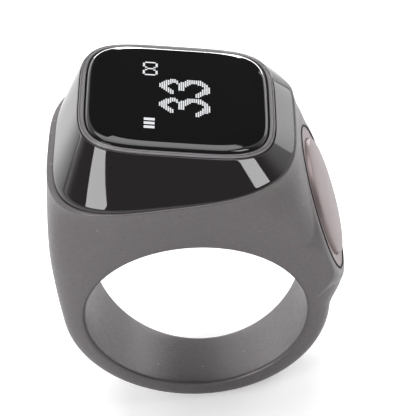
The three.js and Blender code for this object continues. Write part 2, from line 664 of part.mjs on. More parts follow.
function signetCover() {
  const seam = oval(coverHalfX, coverHalfY, SEAM_SQUARENESS, coverCentre);
  const outside = loft(
    raised(seam, seamHeight + GAP),
    atDisplay(raised(bezelOutline(BEZEL_SEAT * COVER_SLOPE), -BEZEL_SEAT)),
  );
  const skirtBottom = seamHeight - SKIRT_DEPTH;
  const skirt = prism(rebateOutline(FIT), [skirtBottom, seamHeight + LEDGE_THICKNESS / 2]);
  const hollowOutline = rebateOutline(FIT + SKIRT_THICKNESS);
  const hollow = loft(
    raised(hollowOutline, skirtBottom - PAST),
    raised(hollowOutline, seamHeight - SKIRT_DEPTH / 2),
    atDisplay(raised(oval(openHalfX + LEDGE_THICKNESS, openHalfY + GAP, 5), panelTop - LEDGE_THICKNESS)),
  );
  const window = loft(
    atDisplay(raised(glassOutline(WINDOW_MARGIN), panelTop)),
    atDisplay(raised(glassOutline(WINDOW_MARGIN), GLASS_PROUD + PAST)),
  );
  const opening = solid(pad(openHalfX, openHalfY, [panelBottom - PAST, 0]).applyMatrix4(displayFrame));
  return geometryOf(cut(joined(outside, skirt), hollow, window, opening));
}

function seamGasket() {
  const z = [rebateBottom + CLOSE, rebateBottom + SEAM_GASKET_HEIGHT - CLOSE];
  const inner = prism(rebateOutline(GAP + SEAM_GASKET_WIDTH), [z[0] - PAST, z[1] + PAST]);
  return geometryOf(cut(prism(rebateOutline(GAP), z), inner));
}

// Everything of the display is built flat and tilted as one group
function displayBezel() {
  const land = prism(bezelOutline(0), [-BEZEL_SEAT + CLOSE, BEZEL_CROWN - BEZEL_STEP_DROP]);
  const crown = loft(
    raised(bezelOutline(-BEZEL_STEP), -BEZEL_SEAT + CLOSE * 2),
    raised(bezelOutline(-BEZEL_STEP - GAP), BEZEL_CROWN),
  );
  const lip = prism(glassOutline(WINDOW_MARGIN - GAP), [-BEZEL_LIP_DEPTH, -BEZEL_SEAT / 2]);
  const hole = prism(glassOutline(GAP), [-BEZEL_LIP_DEPTH - PAST, BEZEL_CROWN + PAST]);
  return geometryOf(cut(joined(land, crown, lip), hole));
}

// The glass's side rounds over into a ground bevel, which rises to the flat face
function displayGlass() {
  const slope = Math.atan2(GLASS_BEVEL_DROP, GLASS_BEVEL_WIDTH);
  const bevelFoot = GLASS_PROUD - GLASS_BEVEL_DROP;
  const rings = [raised(glassOutline(0), glassBottom)];
  for (let i = 0; i <= 4; i++) {
    const angle = (Math.PI / 2 - slope) * (i / 4);
    const inset = GLASS_EDGE_RADIUS * (1 - Math.cos(angle));
    const height = bevelFoot - GLASS_EDGE_RADIUS * (Math.cos(slope) - Math.sin(angle));
    rings.push(raised(glassOutline(-inset), height));
  }
  const bevelTop = GLASS_EDGE_RADIUS * (1 - Math.sin(slope)) + GLASS_BEVEL_WIDTH;
  rings.push(raised(glassOutline(-bevelTop), GLASS_PROUD));
  return geometryOf(loft(...rings));
}

function glassGasket() {
  const z = [panelTop + CLOSE, glassBottom - CLOSE];
  const opening = solid(pad(openHalfX, openHalfY, [z[0] - PAST, z[1] + PAST]));
  return geometryOf(cut(prism(glassOutline(-GASKET_SHRINK), z), opening));
}

function opticalAdhesive() {
  const z = [panelTop + CLOSE / 2, glassBottom - CLOSE / 2];
  return pad(panelHalfX - GLUE_MARGIN, panelHalfY - GLUE_MARGIN, z);
}

// The panel is two plates, and the lower one is longer by the strip that carries the tail
function oledPanel() {
  const middle = panelTop - PANEL_THICKNESS / 2;
  const front = box([-panelHalfX + PANEL_STEP, panelHalfX], [-panelHalfY, panelHalfY], [middle, panelTop]);
  const rear = solid(pad(panelHalfX, panelHalfY, [panelBottom, middle]));
  return geometryOf(joined(front, rear));
}

// The tail leaves the panel's underside and loops down to its socket on the board
function oledFlex() {
  const below = panelBottom - TAIL_THICKNESS;
  const under = new THREE.Vector3(TAIL_START - panelHalfX, 0, below - CLOSE).applyMatrix4(displayFrame);
  const edge = new THREE.Vector3(FIT * 2 - panelHalfX, 0, below - FIT).applyMatrix4(displayFrame);
  const landing = boardTop + SOCKET_HEIGHT + TAIL_THICKNESS;
  const turn = edge.x - TAIL_LOOP;
  const line = [
    [under.x, under.z],
    [edge.x, edge.z],
    [turn, lerp(landing, edge.z, 0.75)],
    [turn, lerp(landing, edge.z, 0.4)],
    [lerp(turn, SOCKET_X, 0.3), landing + TAIL_THICKNESS],
    [SOCKET_X - SOCKET_HALF_X / 2, landing],
    [SOCKET_X + SOCKET_HALF_X / 2, landing],
  ];
  return ribbonGeometry(line, TAIL_THICKNESS, [-TAIL_WIDTH / 2, TAIL_WIDTH / 2]);
}

// The charging strip runs up beside the battery, through the frame's slot, to the board
const chargeFlexX = -batteryHalfX - 2 * FIT;
const chargeFlexFront = screwY;

function innerFrame() {
  const shape = roundedShape(boardHalfX, boardHalfY, BOARD_CORNER);
  const plate = solid(plateGeometry(shape, [frameBottom, frameBottom + FRAME_THICKNESS]));
  const z = [frameBottom - PAST, boardBottom + PAST];
  const window = solid(pad(batteryHalfX - FRAME_LEDGE, batteryHalfY - FRAME_LEDGE, z));
  const leadNotch = box([-LEAD_SPACING, LEAD_SPACING], [-boardHalfY - PAST, FIT - batteryHalfY], z);
  const notchHalfY = SWITCH_FLEX_WIDTH / 2 + 6 * FIT;
  const flexNotch = box([switchFlexStart.x - 5 * FIT, boardHalfX + PAST], [-notchHalfY, notchHalfY], z);
  const slotX = [chargeFlexX - 2 * FIT, chargeFlexX + 2 * FIT];
  const chargeSlot = box(slotX, [chargeFlexFront - CHARGE_FLEX_WIDTH - FIT, chargeFlexFront + FIT], z);
  const holes = screwPlaces.map(([x, y]) => bar(x, y, SCREW_RADIUS + 2 * GAP, z));
  return geometryOf(cut(plate, window, leadNotch, flexNotch, chargeSlot, ...holes));
}

function mainBoard() {
  const shape = roundedShape(boardHalfX, boardHalfY, BOARD_CORNER);
  for (const [x, y] of screwPlaces) {
    const hole = new THREE.Path();
    hole.absarc(x, y, SCREW_RADIUS + 2 * GAP, 0, Math.PI * 2, true);
    shape.holes.push(hole);
  }
  return plateGeometry(shape, [boardBottom, boardTop]);
}

function boardScrew([x, y]) {
  const seat = boardTop + CLOSE;
  const tip = seat - SCREW_LENGTH;
  const top = seat + SCREW_HEAD_HEIGHT;
  const body = turned([
    [0, tip],
    [SCREW_RADIUS * 0.6, tip],
    [SCREW_RADIUS, tip + SCREW_POINT],
    [SCREW_RADIUS, seat],
    [SCREW_HEAD_RADIUS, seat],
    [SCREW_HEAD_RADIUS, top - SCREW_HEAD_HEIGHT * 0.4],
    [SCREW_HEAD_RADIUS * 0.7, top],
    [0, top],
  ], SMALL_STEPS);
  const z = [top - SCREW_HEAD_HEIGHT * 0.55, top + PAST];
  const [long, short] = [SCREW_HEAD_RADIUS * 0.7, SCREW_SLOT / 2];
  const cross = joined(solid(pad(long, short, z)), solid(pad(short, long, z)));
  return geometryOf(cut(body, cross)).translate(x, y, 0);
}

// A part soldered onto the board: centre, plan size and height
const chip = (x, y, sizeX, sizeY, height) =>
  pad(sizeX / 2, sizeY / 2, [boardTop, boardTop + height]).translate(x, y, 0);
const crystalY = SMALL_PART_INSET - boardHalfY;
const controllerY = crystalY + SMALL_PART_WIDTH / 2 + CHIP_SPACE + CONTROLLER_SIDE / 2;
const chargerX = CONTROLLER_X + CONTROLLER_SIDE / 2 + CHIP_SPACE + CHARGER_SIDE / 2;
const controllerChip = () =>
  chip(CONTROLLER_X, controllerY, CONTROLLER_SIDE, CONTROLLER_SIDE, CONTROLLER_HEIGHT);
const chargerChip = () => chip(chargerX, controllerY, CHARGER_SIDE, CHARGER_SIDE, CHARGER_HEIGHT);
const smallPart = (x, y, height) => chip(x, y, SMALL_PART_LENGTH, SMALL_PART_WIDTH, height);
const crystal = () => smallPart(CRYSTAL_X, crystalY, CRYSTAL_HEIGHT);
const inductorX = SOCKET_X + SOCKET_HALF_X + CHIP_SPACE + SMALL_PART_LENGTH / 2;
const inductor = () => smallPart(inductorX, boardHalfY - SMALL_PART_INSET, INDUCTOR_HEIGHT);

function chipAntenna() {
  const x = ANTENNA_INSET + ANTENNA_WIDTH / 2 - boardHalfX;
  const body = solid(chip(x, 0, ANTENNA_WIDTH, ANTENNA_LENGTH, ANTENNA_HEIGHT));
  const z = [boardTop + ANTENNA_HEIGHT / 3, boardTop + ANTENNA_HEIGHT + PAST];
  const half = ANTENNA_NOTCH / 2;
  const notches = [-1, 0, 1].map((place) => {
    const y = (place * ANTENNA_LENGTH) / 4;
    return box([x - ANTENNA_WIDTH, x - ANTENNA_WIDTH / 5], [y - half, y + half], z);
  });
  return geometryOf(cut(body, ...notches));
}

function flexConnector() {
  const body = solid(chip(SOCKET_X, 0, SOCKET_HALF_X * 2, SOCKET_HALF_Y * 2, SOCKET_HEIGHT));
  const [latchHalfY, reliefHalfY] = [TAIL_WIDTH / 2 + FIT, TAIL_WIDTH / 2 - FIT];
  const latch = box(
    [SOCKET_X - SOCKET_HALF_X - 2 * FIT, SOCKET_X - SOCKET_HALF_X / 2],
    [-latchHalfY, latchHalfY],
    [boardTop + LATCH_HEIGHT, boardTop + 2 * LATCH_HEIGHT],
  );
  const relief = box(
    [SOCKET_X + SOCKET_HALF_X / 2, SOCKET_X + SOCKET_HALF_X + FIT],
    [-reliefHalfY, reliefHalfY],
    [boardTop + SOCKET_HEIGHT / 2, boardTop + SOCKET_HEIGHT + PAST],
  );
  return geometryOf(cut(joined(body, latch), relief));
}

// The pouch's sealed edge sticks out of the end that its leads come from
const pouchEdgeTop = batteryTop - BATTERY_THICKNESS / 3;

function battery() {
  const shape = roundedShape(batteryHalfX, batteryHalfY, BATTERY_CORNER);
  const cell = solid(plateGeometry(shape, [batteryBottom, batteryTop]));
  const sealEdge = box(
    [-batteryHalfX + POUCH_EDGE_INSET, batteryHalfX - POUCH_EDGE_INSET],
    [-batteryHalfY - POUCH_EDGE, -batteryHalfY + PAST],
    [pouchEdgeTop - POUCH_EDGE_THICKNESS, pouchEdgeTop],
  );
  return geometryOf(joined(cell, sealEdge));
}

function batteryTape() {
  const bottom = floorRadius + GAP;
  return pad(batteryHalfX - TAPE_INSET, batteryHalfY - TAPE_INSET, [bottom, bottom + TAPE_THICKNESS]);
}

function batteryFoam() {
  const [halfX, halfY] = [batteryHalfX - FRAME_LEDGE - FOAM_INSET, batteryHalfY - FRAME_LEDGE - FOAM_INSET];
  return pad(halfX, halfY, [batteryTop + GAP, boardBottom - GAP]);
}

// A lead comes out of the pouch's sealed edge and turns up to the board
function batteryLead(x) {
  const edge = -batteryHalfY - POUCH_EDGE;
  const height = pouchEdgeTop - POUCH_EDGE_THICKNESS / 2;
  const route = new THREE.CatmullRomCurve3([
    new THREE.Vector3(x, edge - FIT, height),
    new THREE.Vector3(x, edge - LEAD_RADIUS * 1.5, height + LEAD_RADIUS),
    new THREE.Vector3(x, edge - LEAD_RADIUS * 2, lerp(height, boardBottom, 0.4)),
    new THREE.Vector3(x, edge - LEAD_RADIUS * 1.5, boardBottom - CLOSE),
  ]);
  const section = new THREE.Shape();
  section.absarc(0, 0, LEAD_RADIUS, 0, Math.PI * 2, false);
  return new THREE.ExtrudeGeometry(section, { steps: 10, extrudePath: route, curveSegments: 5 });
}

// A round bar on the motor's axis
const motorBar = (radius, y, steps = SMALL_STEPS) => crossBar(motorX, motorHeight, radius, y, steps);

function motorCan() {
  const can = motorBar(MOTOR_RADIUS, [motorBack, motorFront], MOTOR_STEPS);
  const collar = motorBar(MOTOR_COLLAR_RADIUS, [motorFront - PAST, motorFront + MOTOR_COLLAR_LENGTH]);
  const bush = motorBar(MOTOR_SHAFT_RADIUS + GAP, [shaftBack - FIT, motorFront + PAST]);
  return geometryOf(cut(joined(can, collar), bush));
}

function motorShaft() {
  return crossBarGeometry(motorX, motorHeight, MOTOR_SHAFT_RADIUS, [shaftBack, shaftFront]);
}

function motorWeight() {
  const front = shaftFront - MOTOR_SHAFT_TIP;
  const y = [front - WEIGHT_LENGTH, front];
  const cutY = [y[0] - PAST, y[1] + PAST];
  const round = motorBar(WEIGHT_RADIUS, y, MOTOR_STEPS);
  const flat = motorHeight + WEIGHT_CUT;
  const reach = 2 * WEIGHT_RADIUS;
  const side = box([motorX - reach, motorX + reach], cutY, [flat, flat + reach]);
  const hub = motorBar(WEIGHT_HUB_RADIUS, y);
  const hole = motorBar(MOTOR_SHAFT_RADIUS + CLOSE, cutY);
  return geometryOf(cut(joined(cut(round, side), hub), hole));
}

function motorCradle() {
  const past = BAND_WIDTH_HIGH;
  const x = [motorBayOuter + GAP, -bayInner - GAP];
  const y = [motorBack + CRADLE_INSET, motorFront - CRADLE_INSET];
  const block = box(x, y, [BORE_RADIUS / 2, motorHeight - CRADLE_DROP]);
  const underBore = crossBar(0, 0, floorRadius + GAP, [-past, past], BORE_STEPS);
  const underMotor = motorBar(MOTOR_RADIUS + GAP, [-past, past], MOTOR_STEPS);
  return geometryOf(cut(block, underBore, underMotor));
}

// The charging contacts sit in an insulating block in the ring's floor
const pinPlaces = [-PIN_SPACING / 2, PIN_SPACING / 2];
const pinShoulder = BORE_RADIUS + PIN_HEAD_HEIGHT;

function contactBlock() {
  const plate = solid(pad(contactSlotHalfX - GAP, contactSlotHalfY - GAP, [BORE_RADIUS, floorRadius]));
  const holes = pinPlaces.flatMap((y) => [
    bar(0, y, PIN_HEAD_RADIUS + GAP, [BORE_RADIUS - PAST, pinShoulder + CLOSE]),
    bar(0, y, PIN_SHANK_RADIUS + GAP, [BORE_RADIUS, floorRadius + PAST]),
  ]);
  return geometryOf(cut(plate, ...holes));
}

function chargePin(y) {
  return turnedGeometry([
    [0, BORE_RADIUS],
    [PIN_HEAD_RADIUS, BORE_RADIUS],
    [PIN_HEAD_RADIUS, pinShoulder],
    [PIN_SHANK_RADIUS, pinShoulder],
    [PIN_SHANK_RADIUS, floorRadius],
    [0, floorRadius],
  ], SMALL_STEPS).translate(0, y, 0);
}

const magnet = (y) => barGeometry(0, y, MAGNET_RADIUS, [magnetBottom, floorRadius - CLOSE], MOTOR_STEPS);

function chargeFlex() {
  const x = [chargeFlexX - GAP, chargeFlexX + GAP];
  const y = [chargeFlexFront - CHARGE_FLEX_WIDTH, chargeFlexFront];
  return boxGeometry(x, y, [floorRadius + GAP, boardBottom - CLOSE]);
}

// The button and the switch, in the button's frame
function buttonCap() {
  const profile = [
    [0, -BUTTON_FLANGE],
    [BUTTON_RADIUS - BUTTON_EDGE, -BUTTON_FLANGE],
    [BUTTON_RADIUS, -BUTTON_FLANGE + BUTTON_EDGE],
    [BUTTON_RADIUS, -BUTTON_EDGE],
    [BUTTON_RADIUS - BUTTON_EDGE, 0],
  ];
  profile.push([BUTTON_DISC_RADIUS, 0]);
  for (let i = 0; i < ARC_STEPS; i++) {
    const angle = (Math.PI / 2) * (i / ARC_STEPS);
    profile.push([BUTTON_DISC_RADIUS * Math.cos(angle), BUTTON_DISC_STEP + BUTTON_DOME * Math.sin(angle)]);
  }
  profile.push([0, BUTTON_DISC_STEP + BUTTON_DOME]);
  const root = -BUTTON_FLANGE / 2;
  const waist = STEM_RADIUS - CLIP_GROOVE;
  const stem = turned([
    [0, stemEnd],
    [STEM_RADIUS - BUTTON_EDGE, stemEnd],
    [STEM_RADIUS, stemEnd + BUTTON_EDGE],
    [STEM_RADIUS, clipBottom - CLOSE],
    [waist, clipBottom - CLOSE],
    [waist, clipTop + CLOSE],
    [STEM_RADIUS, clipTop + CLOSE],
    [STEM_RADIUS, root],
    [0, root],
  ], SMALL_STEPS).translate([-stemOffset, 0, 0]);
  const guide = bar(stemOffset, 0, STEM_RADIUS, [guideEnd, root]);
  return geometryOf(joined(turned(profile), stem, guide));
}

// An open ring that snaps into the stem's groove
function stemClip() {
  const [from, to] = [radians(CLIP_OPENING / 2), radians(360 - CLIP_OPENING / 2)];
  const shape = new THREE.Shape();
  shape.absarc(0, 0, CLIP_RADIUS, from, to, false);
  shape.absarc(0, 0, STEM_RADIUS - CLIP_GROOVE + GAP, to, from, true);
  return plateGeometry(shape, [clipBottom, clipTop]).translate(-stemOffset, 0, 0);
}

function buttonSeal() {
  const outer = BUTTON_RADIUS - BUTTON_EDGE - FIT;
  const inner = outer - BUTTON_SEAL_WIDTH;
  const bottom = -pocketDepth + CLOSE / 2;
  const top = bottom + BUTTON_SEAL_HEIGHT;
  return turnedGeometry([[inner, bottom], [outer, bottom], [outer, top], [inner, top], [inner, bottom]]);
}

function stemRing() {
  const centre = STEM_RADIUS + GAP + SEAL_SECTION;
  const height = CLOSE + SEAL_SECTION - pocketDepth - SEAL_SEAT_DEPTH;
  const profile = [];
  for (let i = 0; i < 8; i++) {
    const angle = (i / 8) * Math.PI * 2;
    profile.push([centre + SEAL_SECTION * Math.cos(angle), height + SEAL_SECTION * Math.sin(angle)]);
  }
  return turnedGeometry([...profile, profile[0]], SMALL_STEPS).translate(-stemOffset, 0, 0);
}

function switchCase() {
  const body = solid(pad(SWITCH_HALF, SWITCH_HALF, [caseBottom, caseTop]));
  const holeEnd = caseTop - PLUNGER_HIDDEN - BUTTON_TRAVEL - FIT;
  const hole = bar(0, 0, PLUNGER_RADIUS + GAP, [holeEnd, caseTop + PAST]);
  const at = SWITCH_HALF - 2 * PEG_RADIUS;
  const pegs = [[-at, -at], [-at, at], [at, -at], [at, at]].map(([x, y]) =>
    bar(x, y, PEG_RADIUS, [caseTop - PEG_RADIUS, caseTop + PEG_HEIGHT], ARC_STEPS * 2));
  return geometryOf(joined(cut(body, hole), ...pegs)).translate(-stemOffset, 0, 0);
}

function switchPlunger() {
  return barGeometry(-stemOffset, 0, PLUNGER_RADIUS, [caseTop - PLUNGER_HIDDEN, plungerTip]);
}

function switchBoard() {
  const z = [switchBoardBottom, switchBoardTop];
  return pad(switchBoardHalf, SWITCH_BOARD_HALF_Y, z).translate(-stemOffset, 0, 0);
}

// The bracket fills the space between the switch's board and the ring's floor
function switchBracket() {
  const halfY = SWITCH_BOARD_HALF_Y - BAY_MARGIN;
  const x = [-stemOffset - SWITCH_HALF, -stemOffset + switchBoardHalf];
  const block = atButton(boxGeometry(x, [-halfY, halfY], [bracketBottom, bracketTop]));
  const floor = crossBar(0, 0, floorRadius + GAP, [-BAND_WIDTH_HIGH, BAND_WIDTH_HIGH], BORE_STEPS);
  const step = solid(pad(bayInner + GAP, BAND_WIDTH_HIGH, [0, boardTop]));
  return geometryOf(cut(block, floor, step));
}

// The strip from the switch's board up to the main board
function switchFlex() {
  const { x, z } = switchFlexStart;
  const line = [
    [x, z],
    [x + CLOSE, lerp(z, boardBottom, 0.25)],
    [x - GAP, lerp(z, boardBottom, 0.7)],
    [x - GAP, boardBottom - CLOSE],
  ];
  return ribbonGeometry(line, TAIL_THICKNESS, [-SWITCH_FLEX_WIDTH / 2, SWITCH_FLEX_WIDTH / 2]);
}

// Finishes
const finish = (color, roughness, metalness) =>
  new THREE.MeshStandardMaterial({ color, roughness, metalness });
const FINISHES = {
  ringGrey: finish(0x6b6769, 0.55, 0.6),
  coverBlack: finish(0x1b191b, 0.08, 0),
  bezelGrey: finish(0x8c898b, 0.3, 0.9),
  glassBlack: finish(0x151515, 0.05, 0),
  buttonSatin: finish(0xaa9ea0, 0.35, 0.8),
  panelGlass: finish(0x2a2f36, 0.1, 0),
  boardGreen: finish(0x1f5c3a, 0.5, 0),
  chipBlack: finish(0x222224, 0.6, 0),
  ceramic: finish(0xe6e3dc, 0.5, 0),
  amberFilm: finish(0xc77b25, 0.4, 0),
  silicone: finish(0x2b2b2d, 0.9, 0),
  foam: finish(0x3a3a3c, 1, 0),
  pouchSilver: finish(0xb9bcc0, 0.4, 0.6),
  plasticWhite: finish(0xd9d8d4, 0.6, 0),
  steel: finish(0xb4b6b8, 0.3, 1),
  tungsten: finish(0x77797c, 0.4, 1),
  gold: finish(0xd6a645, 0.25, 1),
  redWire: finish(0xb32420, 0.5, 0),
  blackWire: finish(0x1c1c1e, 0.5, 0),
  clearGlue: finish(0xcfd4d8, 0.2, 0),
};

const part = new THREE.Group();
const display = new THREE.Group();
const button = new THREE.Group();
display.applyMatrix4(displayFrame);
button.applyMatrix4(buttonFrame);
part.add(display, button);

function piece(group, name, geometry, material) {
  const mesh = new THREE.Mesh(geometry, material);
  mesh.name = name;
  group.add(mesh);
}

piece(part, "ring_body", ringBody(), FINISHES.ringGrey);
piece(part, "signet_cover", signetCover(), FINISHES.coverBlack);
piece(part, "seam_gasket", seamGasket(), FINISHES.silicone);
piece(display, "display_bezel", displayBezel(), FINISHES.bezelGrey);
piece(display, "display_glass", displayGlass(), FINISHES.glassBlack);
piece(display, "glass_gasket", glassGasket(), FINISHES.foam);
piece(display, "optical_adhesive", opticalAdhesive(), FINISHES.clearGlue);
piece(display, "oled_panel", oledPanel(), FINISHES.panelGlass);
piece(part, "oled_flex", oledFlex(), FINISHES.amberFilm);
piece(part, "inner_frame", innerFrame(), FINISHES.plasticWhite);
piece(part, "main_board", mainBoard(), FINISHES.boardGreen);
screwPlaces.forEach((place, i) => piece(part, `board_screw_${i + 1}`, boardScrew(place), FINISHES.steel));
piece(part, "controller_chip", controllerChip(), FINISHES.chipBlack);
piece(part, "charger_chip", chargerChip(), FINISHES.chipBlack);
piece(part, "crystal", crystal(), FINISHES.steel);
piece(part, "inductor", inductor(), FINISHES.chipBlack);
piece(part, "chip_antenna", chipAntenna(), FINISHES.ceramic);
piece(part, "flex_connector", flexConnector(), FINISHES.plasticWhite);
piece(part, "battery", battery(), FINISHES.pouchSilver);
piece(part, "battery_tape", batteryTape(), FINISHES.foam);
piece(part, "battery_foam", batteryFoam(), FINISHES.foam);
piece(part, "battery_lead_1", batteryLead(-LEAD_SPACING / 2), FINISHES.redWire);
piece(part, "battery_lead_2", batteryLead(LEAD_SPACING / 2), FINISHES.blackWire);
piece(part, "motor_can", motorCan(), FINISHES.steel);
piece(part, "motor_shaft", motorShaft(), FINISHES.steel);
piece(part, "motor_weight", motorWeight(), FINISHES.tungsten);
piece(part, "motor_cradle", motorCradle(), FINISHES.silicone);
piece(part, "contact_block", contactBlock(), FINISHES.chipBlack);
pinPlaces.forEach((y, i) => piece(part, `charge_pin_${i + 1}`, chargePin(y), FINISHES.gold));
[-magnetY, magnetY].forEach((y, i) => piece(part, `magnet_${i + 1}`, magnet(y), FINISHES.steel));
piece(part, "charge_flex", chargeFlex(), FINISHES.amberFilm);
piece(button, "button_cap", buttonCap(), FINISHES.buttonSatin);
piece(button, "stem_clip", stemClip(), FINISHES.steel);
piece(button, "stem_ring", stemRing(), FINISHES.silicone);
piece(button, "button_seal", buttonSeal(), FINISHES.silicone);
piece(button, "switch_case", switchCase(), FINISHES.chipBlack);
piece(button, "switch_plunger", switchPlunger(), FINISHES.plasticWhite);
piece(button, "switch_board", switchBoard(), FINISHES.boardGreen);
piece(part, "switch_bracket", switchBracket(), FINISHES.plasticWhite);
piece(part, "switch_flex", switchFlex(), FINISHES.amberFilm);

export default part;
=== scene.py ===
"""Finger counter: the finished look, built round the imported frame.

Every size in the classes below is in millimetres and matches the part's own source; the meshes are
written in metres. Local frames: the display's lies in its tilted face, the button's in its seat.
"""

import json
import logging
import math
from collections.abc import Sequence
from dataclasses import dataclass, field
from enum import Enum

import bmesh
import bpy
from mathutils import Matrix, Quaternion, Vector


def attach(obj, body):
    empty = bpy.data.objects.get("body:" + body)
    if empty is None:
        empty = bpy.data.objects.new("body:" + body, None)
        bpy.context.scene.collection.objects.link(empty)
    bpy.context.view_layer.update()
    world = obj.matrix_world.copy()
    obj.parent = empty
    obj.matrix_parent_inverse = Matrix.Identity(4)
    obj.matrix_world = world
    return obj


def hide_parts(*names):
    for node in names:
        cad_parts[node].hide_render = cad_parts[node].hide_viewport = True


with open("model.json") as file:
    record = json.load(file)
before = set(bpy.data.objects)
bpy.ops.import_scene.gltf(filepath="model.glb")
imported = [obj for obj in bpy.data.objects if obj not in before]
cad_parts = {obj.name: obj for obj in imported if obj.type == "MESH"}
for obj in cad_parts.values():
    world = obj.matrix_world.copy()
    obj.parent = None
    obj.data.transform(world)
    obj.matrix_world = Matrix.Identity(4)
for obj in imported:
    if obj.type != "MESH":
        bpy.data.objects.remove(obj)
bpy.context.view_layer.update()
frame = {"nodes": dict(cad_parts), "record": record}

MM = 0.001
LOG = logging.getLogger("finger_counter")

Ring = list[Vector]
Piece = bpy.types.Object
Tree = bpy.types.NodeTree
Socket = bpy.types.NodeSocket


class Ends(Enum):
    """How the first and last loop of a lofted form are finished."""

    CAPPED = "capped"
    JOINED = "joined"
    OPEN = "open"


class Sector(Enum):
    """Part of the ring's outline that a column of its skin runs to."""

    BAND = "band"
    RIGHT = "right"
    HEAD = "head"
    LEFT = "left"


# Small helpers for angles and curves


def lerp(a: float, b: float, t: float) -> float:
    """Returns the value at share t of the way from a to b."""
    return a + (b - a) * t


def smooth(start: float, end: float, value: float) -> float:
    """Returns 0 before start, 1 after end and a smooth step between."""
    t = min(1.0, max(0.0, (value - start) / (end - start)))
    return t * t * (3 - 2 * t)


def oval_point(angle: float, power: float) -> tuple[float, float]:
    """Returns a point of the unit oval squared off by power, in the direction angle."""
    c, s = math.cos(angle), math.sin(angle)
    reach = (abs(c) ** power + abs(s) ** power) ** (-1 / power)
    return c * reach, s * reach


def oval(half_x: float, half_y: float, power: float, count: int, centre_x: float = 0.0) -> Ring:
    """Returns a squared-off oval in the plane z = 0, in millimetres.

    Args:
        half_x: half its length along X.
        half_y: half its length along Y.
        power: 2 for an ellipse, more for squarer corners.
        count: how many points it has.
        centre_x: where its centre lies along X.

    Returns:
        The points, anticlockwise seen from above.
    """
    points = (oval_point(math.tau * i / count, power) for i in range(count))
    return [Vector((centre_x + half_x * x, half_y * y, 0.0)) for x, y in points]


def towards(azimuth: float, elevation: float) -> Vector:
    """Returns the direction at an azimuth, 0 in front and 90 at the button, and an elevation."""
    a, e = math.radians(azimuth), math.radians(elevation)
    return Vector((math.sin(a) * math.cos(e), -math.cos(a) * math.cos(e), math.sin(e)))


def raised(ring: Ring, height: float) -> Ring:
    """Returns a copy of the ring lifted by height."""
    return [p + Vector((0, 0, height)) for p in ring]


def between(a: Ring, b: Ring, share: float) -> Ring:
    """Returns the ring at a share of the way from a to b."""
    return [p.lerp(q, share) for p, q in zip(a, b)]


# Modelling with Blender's operators


def deselect() -> None:
    """Leaves edit mode if it is on and deselects every object."""
    if bpy.context.object and bpy.context.object.mode != "OBJECT":
        bpy.ops.object.mode_set(mode="OBJECT")
    bpy.ops.object.select_all(action="DESELECT")


def only(piece: Piece) -> None:
    """Makes the piece the one selected and active object."""
    deselect()
    piece.select_set(True)
    bpy.context.view_layer.objects.active = piece


def start_loop(name: str, count: int, filled: bool) -> Piece:
    """Adds a circle in edit mode whose points remember their places in the loop.

    Args:
        name: name of the new piece.
        count: how many points the loop has.
        filled: whether a face fills it, which then moves on with each extrusion.

    Returns:
        The new piece, in edit mode with the loop selected.
    """
    deselect()
    fill = "NGON" if filled else "NOTHING"
    bpy.ops.mesh.primitive_circle_add(vertices=count, radius=MM, fill_type=fill)
    piece = bpy.context.object
    piece.name = piece.data.name = name
    bpy.ops.object.mode_set(mode="EDIT")
    bpy.ops.mesh.select_all(action="SELECT")
    mesh = bmesh.from_edit_mesh(piece.data)
    station = mesh.verts.layers.int.new("station")
    mesh.verts.ensure_lookup_table()
    for i, vert in enumerate(mesh.verts):
        vert[station] = i
    bmesh.update_edit_mesh(piece.data)
    return piece


def shape_loop(piece: Piece, ring: Ring) -> None:
    """Moves the selected loop onto the ring, given in millimetres."""
    mesh = bmesh.from_edit_mesh(piece.data)
    station = mesh.verts.layers.int["station"]
    for vert in mesh.verts:
        if vert.select:
            vert.co = ring[vert[station]] * MM
    bmesh.update_edit_mesh(piece.data, loop_triangles=False)


def finish_normals() -> None:
    """Merges doubles and turns the faces of the piece in edit mode outwards."""
    bpy.ops.mesh.select_all(action="SELECT")
    bpy.ops.mesh.remove_doubles(threshold=1e-7)
    bpy.ops.mesh.normals_make_consistent(inside=False)
    bpy.ops.object.mode_set(mode="OBJECT")


def loft(name: str, rings: Sequence[Ring], ends: Ends = Ends.CAPPED) -> Piece:
    """Extrudes a loop from ring to ring.

    Args:
        name: name of the new piece.
        rings: loops of equally many points, in millimetres.
        ends: whether the two ends are capped, joined to each other or left open.

    Returns:
        The new piece, with its faces turned outwards.
    """
    piece = start_loop(name, len(rings[0]), ends is Ends.CAPPED)
    shape_loop(piece, rings[0])
    rest = [*rings[1:], rings[0]] if ends is Ends.JOINED else rings[1:]
    for ring in rest:
        bpy.ops.mesh.extrude_region_move()
        shape_loop(piece, ring)
    finish_normals()
    return piece


def turned(name: str, profile: Sequence[tuple[float, float]], count: int = 96) -> Piece:
    """Lofts circles about Z through (radius, height) pairs, capped at both ends."""
    rings = [raised(oval(radius, radius, 2, count), height) for radius, height in profile]
    return loft(name, rings)


def apply_place(piece: Piece, matrix: Matrix) -> None:
    """Puts a piece modelled in a local frame, with its place in its mesh.

    Args:
        piece: the piece.
        matrix: the local frame's place, in metres.
    """
    only(piece)
    piece.matrix_world = matrix
    bpy.ops.object.transform_apply(location=True, rotation=True, scale=True)


def boolean(piece: Piece, tool: Piece, operation: str) -> None:
    """Joins a tool onto a piece or cuts it out of it, and removes the tool."""
    only(piece)
    modifier = piece.modifiers.new("shape", "BOOLEAN")
    modifier.operation = operation
    modifier.solver = "MANIFOLD"
    modifier.object = tool
    bpy.ops.object.modifier_apply(modifier=modifier.name)
    bpy.data.objects.remove(tool, do_unlink=True)


def carve(piece: Piece, tools: Sequence[Piece]) -> None:
    """Cuts each tool out of the piece."""
    for tool in tools:
        boolean(piece, tool, "DIFFERENCE")


